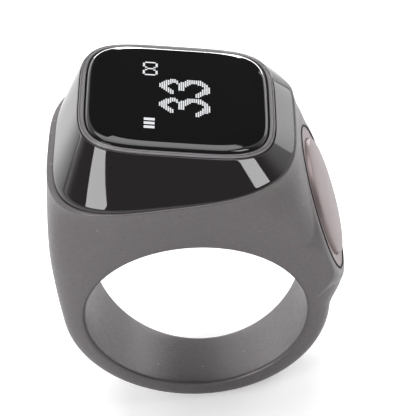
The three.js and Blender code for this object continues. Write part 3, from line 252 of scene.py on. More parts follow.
def block(name: str, x: Sequence[float], y: Sequence[float], z: Sequence[float]) -> Piece:
    """Returns a box between two values on each axis, for cutting with."""
    corners = [(x[0], y[0]), (x[1], y[0]), (x[1], y[1]), (x[0], y[1])]
    return loft(name, [[Vector((a, b, height)) for a, b in corners] for height in z])


def soften(piece: Piece, degrees: float = 30.0) -> None:
    """Shades the piece smooth where its faces meet at less than the angle."""
    only(piece)
    bpy.ops.object.shade_smooth_by_angle(angle=math.radians(degrees))


# Sizes that several pieces share


@dataclass
class Stack:
    """Heights and outlines that the ring, its cover and its display share."""

    bore_radius: float = 10.0
    band_radius: float = 12.15
    floor_radius: float = 11.2
    seam_height: float = 16.0
    seam_left: float = 10.9
    seam_right: float = 11.2
    cover_half_x: float = 10.84
    cover_half_y: float = 11.3
    cover_centre: float = 0.32
    rebate_wall: float = 1.42
    rebate_depth: float = 1.25
    seam_power: float = 3.4
    corner_trim: float = 0.32
    trim_start: float = 12.0
    skirt_power: float = 4.0
    display_x: float = 1.23
    display_height: float = 19.64
    display_tilt: float = 12.9
    glass_half_x: float = 8.02
    glass_half_y: float = 8.05
    glass_power: float = 4.5
    bezel_half_x: float = 8.53
    bezel_half_y: float = 8.48
    bezel_power: float = 4.3
    bezel_seat: float = 0.25
    close: float = 0.02
    gap: float = 0.05
    fit: float = 0.12

    def trimmed(self, point: Vector) -> Vector:
        """Pulls a point of the head's skin in where the back right corner is rounder."""
        across = (point.x - self.cover_centre) / self.cover_half_x
        along = point.y / self.cover_half_y
        if across < 0 or along < 0:
            return point
        share = smooth(0.4, 0.66, across * along) * smooth(self.trim_start, self.seam_height, point.z)
        return point - Vector((1, 1, 0)) * (self.corner_trim * share)

    def display(self, ring: Ring) -> Ring:
        """Returns a ring of the display's own frame, put in its place."""
        turn = Matrix.Rotation(math.radians(self.display_tilt), 3, "Y")
        origin = Vector((self.display_x, 0, self.display_height))
        return [turn @ p + origin for p in ring]

    def display_matrix(self) -> Matrix:
        """Returns the display's own frame, in metres."""
        origin = Vector((self.display_x, 0, self.display_height)) * MM
        return Matrix.Translation(origin) @ Matrix.Rotation(math.radians(self.display_tilt), 4, "Y")

    def rebate(self, margin: float, count: int) -> Ring:
        """Returns the outline of the rebate in the ring's top, less a margin."""
        half_x = self.cover_half_x - self.rebate_wall - margin
        half_y = self.cover_half_y - self.rebate_wall - margin
        return oval(half_x, half_y, self.skirt_power, count, self.cover_centre / 2)

    def glass(self, margin: float, count: int) -> Ring:
        """Returns the glass's outline plus a margin."""
        half_x, half_y = self.glass_half_x + margin, self.glass_half_y + margin
        return oval(half_x, half_y, self.glass_power, count)

    def bezel(self, margin: float, count: int) -> Ring:
        """Returns the bezel's outline plus a margin."""
        half_x, half_y = self.bezel_half_x + margin, self.bezel_half_y + margin
        return oval(half_x, half_y, self.bezel_power, count)


STACK = Stack()


@dataclass
class ButtonSeat:
    """Where the button sits on the ring's right shoulder."""

    x: float = 12.5
    height: float = 7.3
    tilt: float = 9.5
    radius: float = 6.5
    pocket_radius: float = 6.62
    pocket_depth: float = 1.25
    stem_offset: float = 3.991

    @property
    def out(self) -> Vector:
        """Returns the direction in which the button faces."""
        angle = math.radians(self.tilt)
        return Vector((math.cos(angle), 0, math.sin(angle)))

    def matrix(self) -> Matrix:
        """Returns the seat's frame in metres: local Z faces out and local X down."""
        angle = math.radians(self.tilt)
        down = Vector((math.sin(angle), 0, -math.cos(angle)))
        turn = Matrix((down, Vector((0, 1, 0)), self.out)).transposed().to_4x4()
        return Matrix.Translation(Vector((self.x, 0, self.height)) * MM) @ turn


SEAT = ButtonSeat()


# The ring


@dataclass
class RingSkin:
    """The fair surface of the ring's outside, by height and direction."""

    width_low: float = 7.2
    width_middle: float = 12.0
    width_high: float = 18.3
    left_taper: float = 2.0
    right_taper: float = 1.5
    band_power: float = 9.0
    rounding_height: float = 8.0
    rim_width: float = 0.4
    rim_fall: float = 1.4
    rim_fall_width: float = 1.0
    rim_ease: float = 0.85
    rim_blend: float = 0.03
    rim_from: float = -72.0
    rim_full: float = -47.0
    swell_width: float = 3.5

    def half_width(self, z: float) -> float:
        """Returns half the ring's width along the bore at a height."""
        bore = STACK.bore_radius
        slope = (self.width_high - self.width_low) / 4 / bore
        bend = (self.width_high + self.width_low - 2 * self.width_middle) / 4 / bore**2
        return self.width_middle / 2 + slope * z + bend * z * z

    def reach(self, z: float, left: bool) -> float:
        """Returns how far the plain side reaches from the bore's middle at a height."""
        seam = STACK.seam_left if left else STACK.seam_right
        power = self.left_taper if left else self.right_taper
        return STACK.band_radius - (STACK.band_radius - seam) * (max(0.0, z) / STACK.seam_height) ** power

    def power(self, z: float) -> float:
        """Returns how square the ring's level section is at a height."""
        share = smooth(STACK.seam_height - self.rounding_height, STACK.seam_height, z)
        return lerp(self.band_power, STACK.seam_power, share)

    def swell(self, y: float, z: float) -> float:
        """Returns how far the right shoulder stands out to meet the button's seat."""
        plain = math.sqrt(max(0.0, STACK.band_radius**2 - z * z)) if z < 0 else self.reach(z, False)
        seat = SEAT.x + (SEAT.height - z) * math.tan(math.radians(SEAT.tilt))
        away = math.hypot(y, z - SEAT.height)
        start = SEAT.pocket_radius - STACK.gap
        return max(0.0, seat - plain) * (1 - smooth(start, start + self.swell_width, away))

    def onto_rim(self, point: Vector, angle: float, start: float) -> Vector:
        """Lifts a point of the right side onto the rim round the button, if it lies below it.

        Args:
            point: the point before the rim.
            angle: its direction in the section, as for level.
            start: the direction at which its column starts; the lift comes in between there and
                the section's corner, so that the flat side stays flat.

        Returns:
            The point, in millimetres.
        """
        away_from = point - Vector((SEAT.x, 0, SEAT.height))
        height = away_from.dot(SEAT.out)
        away = (away_from - SEAT.out * height).length
        past = max(0.0, away - SEAT.pocket_radius - self.rim_width) / self.rim_fall_width
        eased = min(past, self.rim_ease)
        root = math.sqrt(1 - eased * eased)
        depth = self.rim_fall * (1 - root + (past - eased) * eased / root)
        first = max(start, math.radians(self.rim_from))
        share = smooth(first, math.radians(self.rim_full), angle)
        lift = -depth - height
        eased_lift = (lift + math.hypot(lift, self.rim_blend)) / 2
        return point + SEAT.out * (share * eased_lift)

    def level(self, angle: float, z: float, left: bool, start: float = 0.0) -> Vector:
        """Returns the skin's point above the bore's middle.

        Args:
            angle: from -90 degrees at the front to 0 at the side, in radians.
            z: the height.
            left: whether the point lies on the side away from the button.
            start: the direction at which its column starts; 0 leaves the button's rim out.

        Returns:
            The point, in millimetres.
        """
        k, s = oval_point(angle, self.power(z))
        k = max(0.0, k)
        y = s * self.half_width(z)
        if left:
            return Vector((-k * self.reach(z, True), y, z))
        point = Vector((k * (self.reach(z, False) + self.swell(y, z)), y, z))
        return self.onto_rim(point, angle, start) if start else point

    def band(self, angle: float, turn: float, start: float = 0.0) -> Vector:
        """Returns the skin's point below the bore's middle.

        Args:
            angle: from -90 degrees at the bore's axis to 0 on the outside, in radians.
            turn: how far the direction from the axis is turned down from +X, in radians.
            start: the direction at which its column starts; 0 leaves the button's rim out.

        Returns:
            The point, in millimetres.
        """
        k, s = oval_point(angle, self.band_power)
        radius = k * STACK.band_radius
        z = -radius * math.sin(turn)
        y = s * self.half_width(z)
        x = radius * math.cos(turn)
        if turn < math.pi / 2:
            x += k * self.swell(y, z)
        point = Vector((x, y, z))
        return self.onto_rim(point, angle, start) if start and turn < math.pi / 2 else point


@dataclass
class RingBody:
    """The ring itself: one blasted and anodised piece with its bore, pockets and hollow head."""

    skin: RingSkin = field(default_factory=RingSkin)
    bore_edge: float = 0.45
    lip_edge: float = 0.1
    lip_chamfer: float = 0.07
    shoulder_angle: float = 50.0
    seat_angle: float = 25.0
    band_columns: int = 62
    seat_columns: int = 18
    right_columns: int = 72
    head_columns: int = 104
    left_columns: int = 30
    skin_rows: int = 60
    edge_rows: int = 7
    bore_rows: int = 3
    cavity_wall: float = 1.4
    cavity_half_x: float = 8.6
    motor_bay_x: tuple[float, float] = (-8.37, -5.2)
    motor_bay_half_y: float = 4.65
    bay_foot: float = 5.0
    switch_bay_x: tuple[float, float] = (-5.99, -1.99)
    switch_bay_half_y: float = 3.4
    switch_bay_z: tuple[float, float] = (-6.59, -2.3)
    slot_half_x: float = 1.4
    slot_half_y: float = 3.9
    magnet_y: float = 6.0
    magnet_radius: float = 1.25
    magnet_foot: float = 10.38
    pin_hole_radius: float = 0.82
    stem_hole_depth: float = 3.4
    guide_hole_depth: float = 2.37
    seal_radius: float = 1.26
    seal_depth: float = 0.55
    boss_x: float = 6.6
    boss_y: float = 6.4
    boss_radius: float = 1.1
    boss_z: tuple[float, float] = (10.2, 13.7)
    screw_hole_radius: float = 0.55
    screw_hole_z: tuple[float, float] = (11.78, 14.7)

    def columns(self) -> list[tuple[Sector, float, float]]:
        """Returns each column's sector, its direction round the bore and its share of the sector."""
        edge = math.radians(self.shoulder_angle)
        seat_turn = math.radians(self.seat_angle)
        found = []
        for i in range(self.seat_columns):
            found.append((Sector.BAND, -seat_turn * (1 - i / self.seat_columns), 0.0))
        for i in range(self.right_columns):
            share = i / self.right_columns
            found.append((Sector.RIGHT, edge * share, share))
        for i in range(self.head_columns):
            share = i / self.head_columns
            found.append((Sector.HEAD, lerp(edge, math.pi - edge, share), share))
        for i in range(self.left_columns):
            share = i / self.left_columns
            found.append((Sector.LEFT, lerp(math.pi - edge, math.pi, share), 1 - share))
        for i in range(self.band_columns):
            share = i / self.band_columns
            found.append((Sector.BAND, lerp(-math.pi, -seat_turn, share), 0.0))
        return found

    def side_angle(self, x: float, z: float, left: bool) -> float:
        """Returns the skin's direction at which it passes a place in the front view.

        Args:
            x: distance from the bore's middle, above zero.
            z: height.
            left: whether the place lies away from the button.

        Returns:
            The angle that RingSkin.level takes.
        """
        low, high = -math.pi / 2, 0.0
        for _ in range(40):
            middle = (low + high) / 2
            low, high = (middle, high) if abs(self.skin.level(middle, z, left).x) < x else (low, middle)
        return (low + high) / 2

    def rows(self, start: float, end: float) -> list[float]:
        """Returns shares of the way from one angle to another, closer together at the oval's corner."""
        steps = 200
        density = [1 + 4 * math.exp(-((math.degrees(lerp(start, end, i / steps)) + 45) / 7) ** 2)
                   for i in range(steps + 1)]
        total, sums = 0.0, [0.0]
        for a, b in zip(density, density[1:]):
            total += (a + b) / 2
            sums.append(total)
        shares, at = [], 0
        for row in range(self.skin_rows + 1):
            target = total * row / self.skin_rows
            while at < steps - 1 and sums[at + 1] < target:
                at += 1
            shares.append((at + (target - sums[at]) / (sums[at + 1] - sums[at])) / steps)
        return shares

    def band_angle(self, radius: float, turn: float) -> float:
        """Returns the section's direction at which the skin below passes a radius."""
        low, high = -math.pi / 2, 0.0
        for _ in range(40):
            middle = (low + high) / 2
            point = self.skin.band(middle, turn)
            low, high = (middle, high) if math.hypot(point.x, point.z) < radius else (low, middle)
        return (low + high) / 2

    def column(self, sector: Sector, direction: float, share: float) -> Ring:
        """Returns the points of the front half of one column, from the bore to the skin's end."""
        bore = STACK.bore_radius
        out = bore + self.bore_edge
        towards = Vector((math.cos(direction), 0, math.sin(direction)))
        if sector is Sector.BAND:
            start = self.band_angle(out, -direction)
            angles = [lerp(start, 0, t) for t in self.rows(start, 0)]
            skin = [self.skin.band(angle, -direction, start) for angle in angles]
            corner = self.skin.band(self.band_angle(bore, -direction), -direction)
        else:
            left = direction > math.pi / 2
            place = towards * out
            start = self.side_angle(abs(place.x), place.z, left)
            top = STACK.seam_height - self.lip_edge
            if sector is Sector.HEAD:
                seam_angle = -math.pi * share
                end = seam_angle if not left else -math.pi - seam_angle
                end_z = top
            else:
                end, end_z = 0.0, top * share
            skin = []
            for t in self.rows(start, end):
                skin.append(self.skin.level(lerp(start, end, t), lerp(place.z, end_z, t), left, start))
            corner_place = towards * bore
            corner_angle = self.side_angle(abs(corner_place.x), corner_place.z, left)
            corner = self.skin.level(corner_angle, corner_place.z, left)
        corner = Vector((bore * towards.x, corner.y, bore * towards.z))
        wall = corner + Vector((0, self.bore_edge, 0))
        points = [Vector((corner.x, wall.y * i / self.bore_rows, corner.z)) for i in range(self.bore_rows)]
        for i in range(self.edge_rows):
            t = i / self.edge_rows
            points.append(wall.lerp(corner, t).lerp(corner.lerp(skin[0], t), t))
        return points + skin

    def head_cavity(self) -> list[Piece]:
        """Returns the tools that hollow the head for its electronics."""
        count = 96
        bottom = STACK.seam_height - STACK.rebate_depth
        top = STACK.seam_height + 1
        low, high = (
            oval(self.cavity_half_x, self.skin.half_width(z) - self.cavity_wall, 5, count)
            for z in (STACK.floor_radius, bottom)
        )
        hopper = loft("hopper", [raised(low, STACK.floor_radius), raised(high, bottom + 0.01)])
        rebate = loft("rebate", [raised(STACK.rebate(0, count), z) for z in (bottom, top)])
        return [hopper, rebate]

    def floor_bays(self) -> list[Piece]:
        """Returns the tools that cut the bays beside the battery, down to the bore's wall."""
        half = self.motor_bay_half_y
        motor = block("motor_bay", self.motor_bay_x, (-half, half), (self.bay_foot, STACK.floor_radius + 1))
        half = self.switch_bay_half_y
        switch = block("switch_bay", self.switch_bay_x, (-half, half), self.switch_bay_z)
        apply_place(switch, SEAT.matrix())
        boolean(switch, block("under_battery", (0, 5.2), (-5, 5), (0, STACK.floor_radius)), "DIFFERENCE")
        tools = []
        for tool in (motor, switch):
            radius = STACK.floor_radius
            floor = turned("floor", [(radius, -15), (radius, 15)], 192)
            apply_place(floor, Matrix.Rotation(math.pi / 2, 4, "X"))
            boolean(tool, floor, "DIFFERENCE")
            tools.append(tool)
        return tools

    def floor_pockets(self) -> list[Piece]:
        """Returns the tools for the charging contacts' slot and the two magnets."""
        half_x, half_y, top = self.slot_half_x, self.slot_half_y, STACK.floor_radius + 1
        tools = [block("contact_slot", (-half_x, half_x), (-half_y, half_y), (0, top))]
        for y in (-self.magnet_y, self.magnet_y):
            pocket = turned("magnet_pocket", [(self.magnet_radius, z) for z in (self.magnet_foot, top)], 48)
            apply_place(pocket, Matrix.Translation((0, y * MM, 0)))
            tools.append(pocket)
        return tools

    def button_pocket(self) -> list[Piece]:
        """Returns the tools for the button's pocket, its stem's hole and its guide's hole."""
        radius, depth = SEAT.pocket_radius, SEAT.pocket_depth
        lip = self.lip_chamfer
        pocket = turned("pocket", [
            (radius, -depth), (radius, -lip), (radius + lip, 0), (radius + lip, 0.05), (radius + 0.4, 2.4),
        ], 192)
        stem, seal, guide = (
            turned(name, [(hole_radius, -hole_depth), (hole_radius, -0.5)], 40)
            for name, hole_radius, hole_depth in (
                ("stem_hole", self.pin_hole_radius, self.stem_hole_depth),
                ("seal_seat", self.seal_radius, depth + self.seal_depth),
                ("guide_hole", self.pin_hole_radius, self.guide_hole_depth),
            )
        )
        for tool, x in ((stem, -SEAT.stem_offset), (seal, -SEAT.stem_offset), (guide, SEAT.stem_offset)):
            apply_place(tool, Matrix.Translation((x * MM, 0, 0)))
        for tool in (pocket, stem, seal, guide):
            apply_place(tool, SEAT.matrix())
        return [pocket, stem, seal, guide]

    def add_bosses(self, piece: Piece) -> None:
        """Adds the four screw bosses and drills them."""
        for x in (-self.boss_x, self.boss_x):
            for y in (-self.boss_y, self.boss_y):
                place = Matrix.Translation((x * MM, y * MM, 0))
                boss = turned("boss", [(self.boss_radius, z) for z in self.boss_z], 48)
                apply_place(boss, place)
                boolean(piece, boss, "UNION")
                hole = turned("screw_hole", [(self.screw_hole_radius, z) for z in self.screw_hole_z], 32)
                apply_place(hole, place)
                carve(piece, [hole])

    def build(self) -> Piece:
        """Models the ring.

        Returns:
            The finished piece.
        """
        columns = [self.column(*column) for column in self.columns()]
        rings = [list(ring) for ring in zip(*columns)]
        piece = loft("ring_shell", rings, Ends.OPEN)
        only(piece)
        mirror = piece.modifiers.new("back_half", "MIRROR")
        mirror.use_axis = (False, True, False)
        mirror.merge_threshold = 2e-6
        bpy.ops.object.modifier_apply(modifier=mirror.name)
        for vertex in piece.data.vertices:
            vertex.co = STACK.trimmed(vertex.co / MM) * MM
        self.close_top(piece)
        carve(piece, self.button_pocket())
        carve(piece, self.head_cavity())
        carve(piece, self.floor_bays())
        carve(piece, self.floor_pockets())
        self.add_bosses(piece)
        soften(piece, 32)
        return piece

    def close_top(self, piece: Piece) -> None:
        """Rounds the lip at the seam and closes the top with a face."""
        only(piece)
        bpy.ops.object.mode_set(mode="EDIT")
        bpy.ops.mesh.select_mode(type="EDGE")
        bpy.ops.mesh.select_all(action="DESELECT")
        bpy.ops.mesh.select_non_manifold(extend=False, use_wire=False, use_boundary=True,
                                         use_multi_face=False, use_non_contiguous=False, use_verts=False)
        centre = Vector(((STACK.seam_right - STACK.seam_left) / 2, 0, STACK.seam_height)) * MM
        across = (STACK.seam_right + STACK.seam_left) / 2
        steps = 4
        before_inset = before_rise = 0.0
        for i in range(1, steps + 1):
            angle = math.pi / 2 * i / steps
            inset, rise = self.lip_edge * (1 - math.cos(angle)), self.lip_edge * math.sin(angle)
            bpy.ops.mesh.extrude_region_move(
                TRANSFORM_OT_translate={"value": (0, 0, (rise - before_rise) * MM)})
            scale = (across - inset) / (across - before_inset)
            bpy.ops.transform.resize(value=(scale, scale, 1), center_override=centre)
            before_inset, before_rise = inset, rise
        bpy.ops.mesh.edge_face_add()
        bpy.ops.mesh.select_mode(type="VERT")
        finish_normals()


# The cover and the display


@dataclass
class SignetCover:
    """The gloss black moulding between the ring's seam and the bezel."""

    count: int = 224
    slope: float = 0.45
    crown: float = 0.02
    foot_tuck: float = 0.14
    foot_share: float = 0.13
    top_edge: float = 0.04
    window_margin: float = 0.25
    open_half_x: float = 5.75
    open_half_y: float = 7.0
    panel_top: float = -1.2
    ledge: float = 0.7
    skirt_depth: float = 1.0
    skirt_thickness: float = 0.8
    facet_rows: int = 24

    def outside(self) -> list[Ring]:
        """Returns the loops of the visible facets, from the seam to the bezel's seat."""
        seam = oval(STACK.cover_half_x, STACK.cover_half_y, STACK.seam_power, self.count,
                    STACK.cover_centre)
        low = [STACK.trimmed(p) for p in raised(seam, STACK.seam_height + STACK.gap)]
        seat = STACK.bezel_seat
        high = STACK.display(raised(STACK.bezel(seat * self.slope, self.count), -seat))
        inner = STACK.display(raised(STACK.bezel(seat * self.slope - self.top_edge, self.count), -seat))
        rings = []
        facet = 0.97
        for i in range(self.facet_rows + 1):
            share = (i / self.facet_rows) ** 1.6 * facet
            ring = between(low, high, share)
            bulge = self.crown * math.sin(math.pi * share)
            bulge -= self.foot_tuck * max(0.0, 1 - share / self.foot_share) ** 2
            centre = sum(ring, Vector()) / len(ring)
            rings.append([p + (p - centre).normalized() * bulge for p in ring])
        for i in range(1, 5):
            t = i / 4
            near = between(rings[self.facet_rows], high, t)
            far = between(high, inner, t)
            rings.append(between(near, far, t))
        return rings

    def inside(self) -> list[Ring]:
        """Returns the loops of the window, the ledge under the glass and the skirt."""
        count, seat = self.count, STACK.bezel_seat
        opening = oval(self.open_half_x, self.open_half_y, 30, count)
        hollow_top = oval(self.open_half_x + self.ledge, self.open_half_y + STACK.gap, 5, count)
        hollow = STACK.rebate(STACK.fit + self.skirt_thickness, count)
        skirt = STACK.rebate(STACK.fit, count)
        seam = STACK.seam_height
        return [
            STACK.display(raised(STACK.glass(self.window_margin, count), -seat)),
            STACK.display(raised(STACK.glass(self.window_margin, count), self.panel_top)),
            STACK.display(raised(opening, self.panel_top)),
            STACK.display(raised(opening, self.panel_top - self.ledge + 0.05)),
            STACK.display(raised(hollow_top, self.panel_top - self.ledge)),
            raised(hollow, seam - self.skirt_depth / 2),
            raised(hollow, seam - self.skirt_depth),
            raised(skirt, seam - self.skirt_depth),
            raised(skirt, seam + STACK.gap),
        ]

    def build(self) -> Piece:
        """Models the cover as one closed frame.

        Returns:
            The finished piece.
        """
        piece = loft("cover_shell", [*self.outside(), *self.inside()], Ends.JOINED)
        soften(piece, 25)
        return piece


@dataclass
class DisplayBezel:
    """The satin metal frame round the glass: a lower step, a raised crown and an inner lip."""

    count: int = 240
    crown: float = -0.04
    land: float = -0.07
    step: float = 0.14
    edge: float = 0.03
    groove: float = 0.07
    groove_depth: float = 0.09
    lip_depth: float = 0.85
    window_margin: float = 0.25

    def build(self) -> Piece:
        """Models the bezel as one closed frame.

        Returns:
            The finished piece.
        """
        bezel, glass, count = STACK.bezel, STACK.glass, self.count
        seat, close, gap, edge = STACK.bezel_seat, STACK.close, STACK.gap, self.edge
        inner = glass(self.window_margin - gap, count)
        bottom = self.crown - self.groove_depth
        crown_edge = -self.step - self.groove / 2
        rings = [
            raised(inner, -self.lip_depth),
            raised(inner, -seat + close),
            raised(bezel(0, count), -seat + close),
            raised(bezel(0, count), self.land - edge),
            raised(bezel(-edge * 0.3, count), self.land - edge * 0.3),
            raised(bezel(-edge, count), self.land),
            raised(bezel(-self.step + self.groove / 2, count), self.land),
            raised(bezel(-self.step + self.groove / 4, count), bottom),
            raised(bezel(crown_edge + self.groove / 4, count), bottom),
            raised(bezel(crown_edge, count), self.crown - edge),
            raised(bezel(crown_edge - edge * 0.3, count), self.crown - edge * 0.3),
            raised(bezel(crown_edge - edge, count), self.crown),
            raised(glass(gap + edge, count), self.crown),
            raised(glass(gap + edge * 0.3, count), self.crown - edge * 0.3),
            raised(glass(gap, count), self.crown - edge),
            raised(glass(gap, count), -self.lip_depth),
        ]
        piece = loft("bezel_frame", rings, Ends.JOINED)
        apply_place(piece, STACK.display_matrix())
        soften(piece, 28)
        return piece


@dataclass
class CoverGlass:
    """The black-backed glass: its side rounds over into a ground bevel below the flat face."""

    count: int = 240
    bottom: float = -1.1
    chamfer: float = 0.1
    proud: float = 0.28
    edge_radius: float = 0.56
    bevel_width: float = 0.36
    bevel_drop: float = 0.09
    edge_rows: int = 10

    def build(self) -> Piece:
        """Models the glass.

        Returns:
            The finished piece.
        """
        chamfer = self.chamfer
        rings = [
            raised(STACK.glass(-chamfer, self.count), self.bottom),
            raised(STACK.glass(0, self.count), self.bottom + chamfer),
        ]
        slope = math.atan2(self.bevel_drop, self.bevel_width)
        foot = self.proud - self.bevel_drop
        for i in range(self.edge_rows + 1):
            angle = (math.pi / 2 - slope) * i / self.edge_rows
            inset = self.edge_radius * (1 - math.cos(angle))
            height = foot - self.edge_radius * (math.cos(slope) - math.sin(angle))
            rings.append(raised(STACK.glass(-inset, self.count), height))
        top = self.edge_radius * (1 - math.sin(slope)) + self.bevel_width
        rings.append(raised(STACK.glass(-top, self.count), self.proud))
        piece = loft("cover_glass", rings)
        apply_place(piece, STACK.display_matrix())
        soften(piece, 12)
        return piece


THREE = (
    ".......XXX....", "......XXXXX...", ".....XXXXXXX..", "....XXXXXXXXX.", "...XXXX..XXXX.",
    "..XXXX....XXXX", "..XXX......XXX", "...........XXX", "..........XXX.", ".....XXXXXX...",
    ".....XXXXXXX..", ".....XXXXXXX..", "........XXXXX.", ".........XXXXX", "..........XXXX",
    "...........XXX", "...........XXX", "XXX........XXX", "XXXX......XXXX", ".XXXX.....XXXX",
    "..XXXXX..XXXX.", "...XXXXXXXXX..", "...XXXXXXXX...", "....XXXXX.....",
)
ENDLESS = (
    ".XXX...XXX.", "X...X.X...X", "X....X....X", "X....X....X", "X....X....X",
    "X...X.X...X", ".XXX...XXX.",
)
BARS = ("XX.XX.XX",) * 5


@dataclass
class Glyph:
    """One lit sign of the display: its rows of dots, its first corner and how long its dots are."""

    name: str
    rows: tuple[str, ...]
    start_x: float
    start_y: float
    dot_length: float


@dataclass
class LitDots:
    """The dots that the display lights: a count, a battery mark and the endless mode's mark."""

    pitch_x: float = 0.187
    pitch_y: float = 0.197
    dot_width: float = 0.165
    thickness: float = 0.006
    height: float = 0.281
    glyphs: tuple[Glyph, ...] = (
        Glyph("lit_tens", THREE, -1.62, -3.15, 0.13),
        Glyph("lit_units", THREE, -1.62, -0.2, 0.13),
        Glyph("lit_battery_bars", BARS, -2.87, -5.3, 0.187),
        Glyph("lit_endless_mark", ENDLESS, -3.07, 2.93, 0.187),
    )

    def build(self) -> list[Piece]:
        """Models each sign as thin square dots.

        Returns:
            One piece for each sign.
        """
        return [self.sign(glyph) for glyph in self.glyphs]

    def sign(self, glyph: Glyph) -> Piece:
        """Models one sign: its dots are laid out as squares and raised together."""
        deselect()
        first = True
        for row, cells in enumerate(glyph.rows):
            for column, cell in enumerate(cells):
                if cell != "X":
                    continue
                x = glyph.start_x + (row + 0.5) * self.pitch_x
                y = glyph.start_y + (column + 0.5) * self.pitch_y
                place = Vector((x, y, self.height)) * MM
                bpy.ops.mesh.primitive_plane_add(size=MM, location=place)
                size = (glyph.dot_length, self.dot_width, 1)
                bpy.ops.transform.resize(value=size, center_override=place)
                if first:
                    piece = bpy.context.object
                    piece.name = piece.data.name = glyph.name
                    bpy.ops.object.transform_apply(location=True, rotation=True, scale=True)
                    bpy.ops.object.mode_set(mode="EDIT")
                    first = False
        bpy.ops.mesh.select_all(action="SELECT")
        bpy.ops.mesh.extrude_region_move(TRANSFORM_OT_translate={"value": (0, 0, self.thickness * MM)})
        bpy.ops.mesh.select_all(action="SELECT")
        bpy.ops.mesh.normals_make_consistent(inside=False)
        bpy.ops.object.mode_set(mode="OBJECT")
        apply_place(piece, STACK.display_matrix())
        return piece


# The button


@dataclass
class PushButton:
    """The button: a flange, a groove and a domed disc, with its stem and guide pin behind."""

    radius: float = 6.5
    flange: float = 0.65
    edge: float = 0.08
    disc_radius: float = 5.3
    disc_step: float = 0.28
    dome: float = 0.56
    groove: float = 0.1
    groove_depth: float = 0.14
    stem_radius: float = 0.7
    waist_radius: float = 0.48
    stem_end: float = -2.85
    clip_groove: tuple[float, float] = (-2.59, -2.33)
    guide_end: float = -1.95
    pin_root: float = -0.3
    # A thin black lip in the gap round the button: painted shade for the seam's dark line.
    shade_lip_radius: float = 6.56
    shade_lip_thickness: float = 0.05
    shade_lip_stand: float = 0.1
    dome_rows: int = 18

    def build(self) -> Piece:
        """Models the button.

        Returns:
            The finished piece.
        """
        edge = self.edge
        profile = [(self.radius - edge, -self.flange), (self.radius, -self.flange + edge)]
        for i in range(5):
            angle = math.pi / 2 * i / 4
            profile.append((self.radius - edge * (1 - math.cos(angle)), -edge * (1 - math.sin(angle))))
        disc, groove = self.disc_radius, self.groove
        profile += [(disc + groove + 0.03, 0), (disc + groove, -0.02),
                    (disc + groove * 0.8, -self.groove_depth), (disc, -self.groove_depth)]
        for i in range(self.dome_rows):
            angle = math.pi / 2 * i / self.dome_rows
            profile.append((disc * math.cos(angle), self.disc_step + self.dome * math.sin(angle)))
        profile.append((0.03, self.disc_step + self.dome))
        piece = turned("push_button", profile, 144)
        waist, radius, end, root = self.waist_radius, self.stem_radius, self.stem_end, self.pin_root
        low, high = self.clip_groove
        stem = turned("stem", [
            (radius - edge, end), (radius, end + edge), (radius, low), (waist, low), (waist, high),
            (radius, high), (radius, root),
        ], 40)
        end = self.guide_end
        guide = turned("guide", [(radius - edge, end), (radius, end + edge), (radius, root)], 40)
        for pin, x in ((stem, -SEAT.stem_offset), (guide, SEAT.stem_offset)):
            apply_place(pin, Matrix.Translation((x * MM, 0, 0)))
            boolean(piece, pin, "UNION")
        apply_place(piece, SEAT.matrix())
        soften(piece, 30)
        return piece

    def build_seam_shade_lip(self) -> Piece:
        """Models a thin black lip in the gap round the button: painted shade, a dark piece that draws the
        seam's dark line where the gap's shade falls.

        Returns:
            The finished piece.
        """
        half, top = self.shade_lip_thickness, self.shade_lip_stand - self.shade_lip_thickness
        profile = [(self.shade_lip_radius + half, -0.3), (self.shade_lip_radius + half, top)]
        for i in range(1, 8):
            angle = math.pi * i / 8
            profile.append((self.shade_lip_radius + half * math.cos(angle), top + half * math.sin(angle)))
        profile += [(self.shade_lip_radius - half, top), (self.shade_lip_radius - half, -0.3)]
        rings = [raised(oval(radius, radius, 2, 192), height) for radius, height in profile]
        piece = loft("button_seam_shade_lip", rings, Ends.JOINED)
        apply_place(piece, SEAT.matrix())
        soften(piece, 40)
        return piece


# Finishes


def linear(colour: str) -> tuple[float, float, float, float]:
    """Turns an sRGB hex colour into linear values with full alpha."""
    channels = [int(colour[i:i + 2], 16) / 255 for i in (1, 3, 5)]
    turned_linear = [c / 12.92 if c <= 0.04045 else ((c + 0.055) / 1.055) ** 2.4 for c in channels]
    return (*turned_linear, 1.0)


def tinted(colour: str, factor: float) -> tuple[float, float, float, float]:
    """Returns a hex colour as linear values, made lighter or darker by a factor."""
    r, g, b, _ = linear(colour)
    return (r * factor, g * factor, b * factor, 1.0)


def add_node(tree: Tree, kind: str, inputs: dict | None = None, **settings) -> bpy.types.Node:
    """Adds a node with its settings, values and links.

    Args:
        tree: the tree it goes into.
        kind: the node's type name.
        inputs: a value, or another node's output, for each named or numbered input.
        settings: the node's own properties.

    Returns:
        The new node.
    """
    node = tree.nodes.new(kind)
    for name, value in settings.items():
        setattr(node, name, value)
    for key, value in (inputs or {}).items():
        if isinstance(value, Socket):
            tree.links.new(value, node.inputs[key])
        else:
            node.inputs[key].default_value = value
    return node


def maths(tree: Tree, operation: str, first: Socket,
          second: Socket | float) -> Socket:
    """Returns the socket that gives a sum, product or the like of two values."""
    return add_node(tree, "ShaderNodeMath", {0: first, 1: second}, operation=operation).outputs[0]


def bump(tree: Tree, height: Socket, depth: float) -> Socket:
    """Returns the socket that gives a relief of this depth in millimetres."""
    return add_node(tree, "ShaderNodeBump", {"Height": height, "Distance": depth * MM}).outputs[0]


def per_mm(size: float) -> float:
    """Returns the texture scale whose pattern repeats about once in this many millimetres."""
    return 1 / (size * MM)


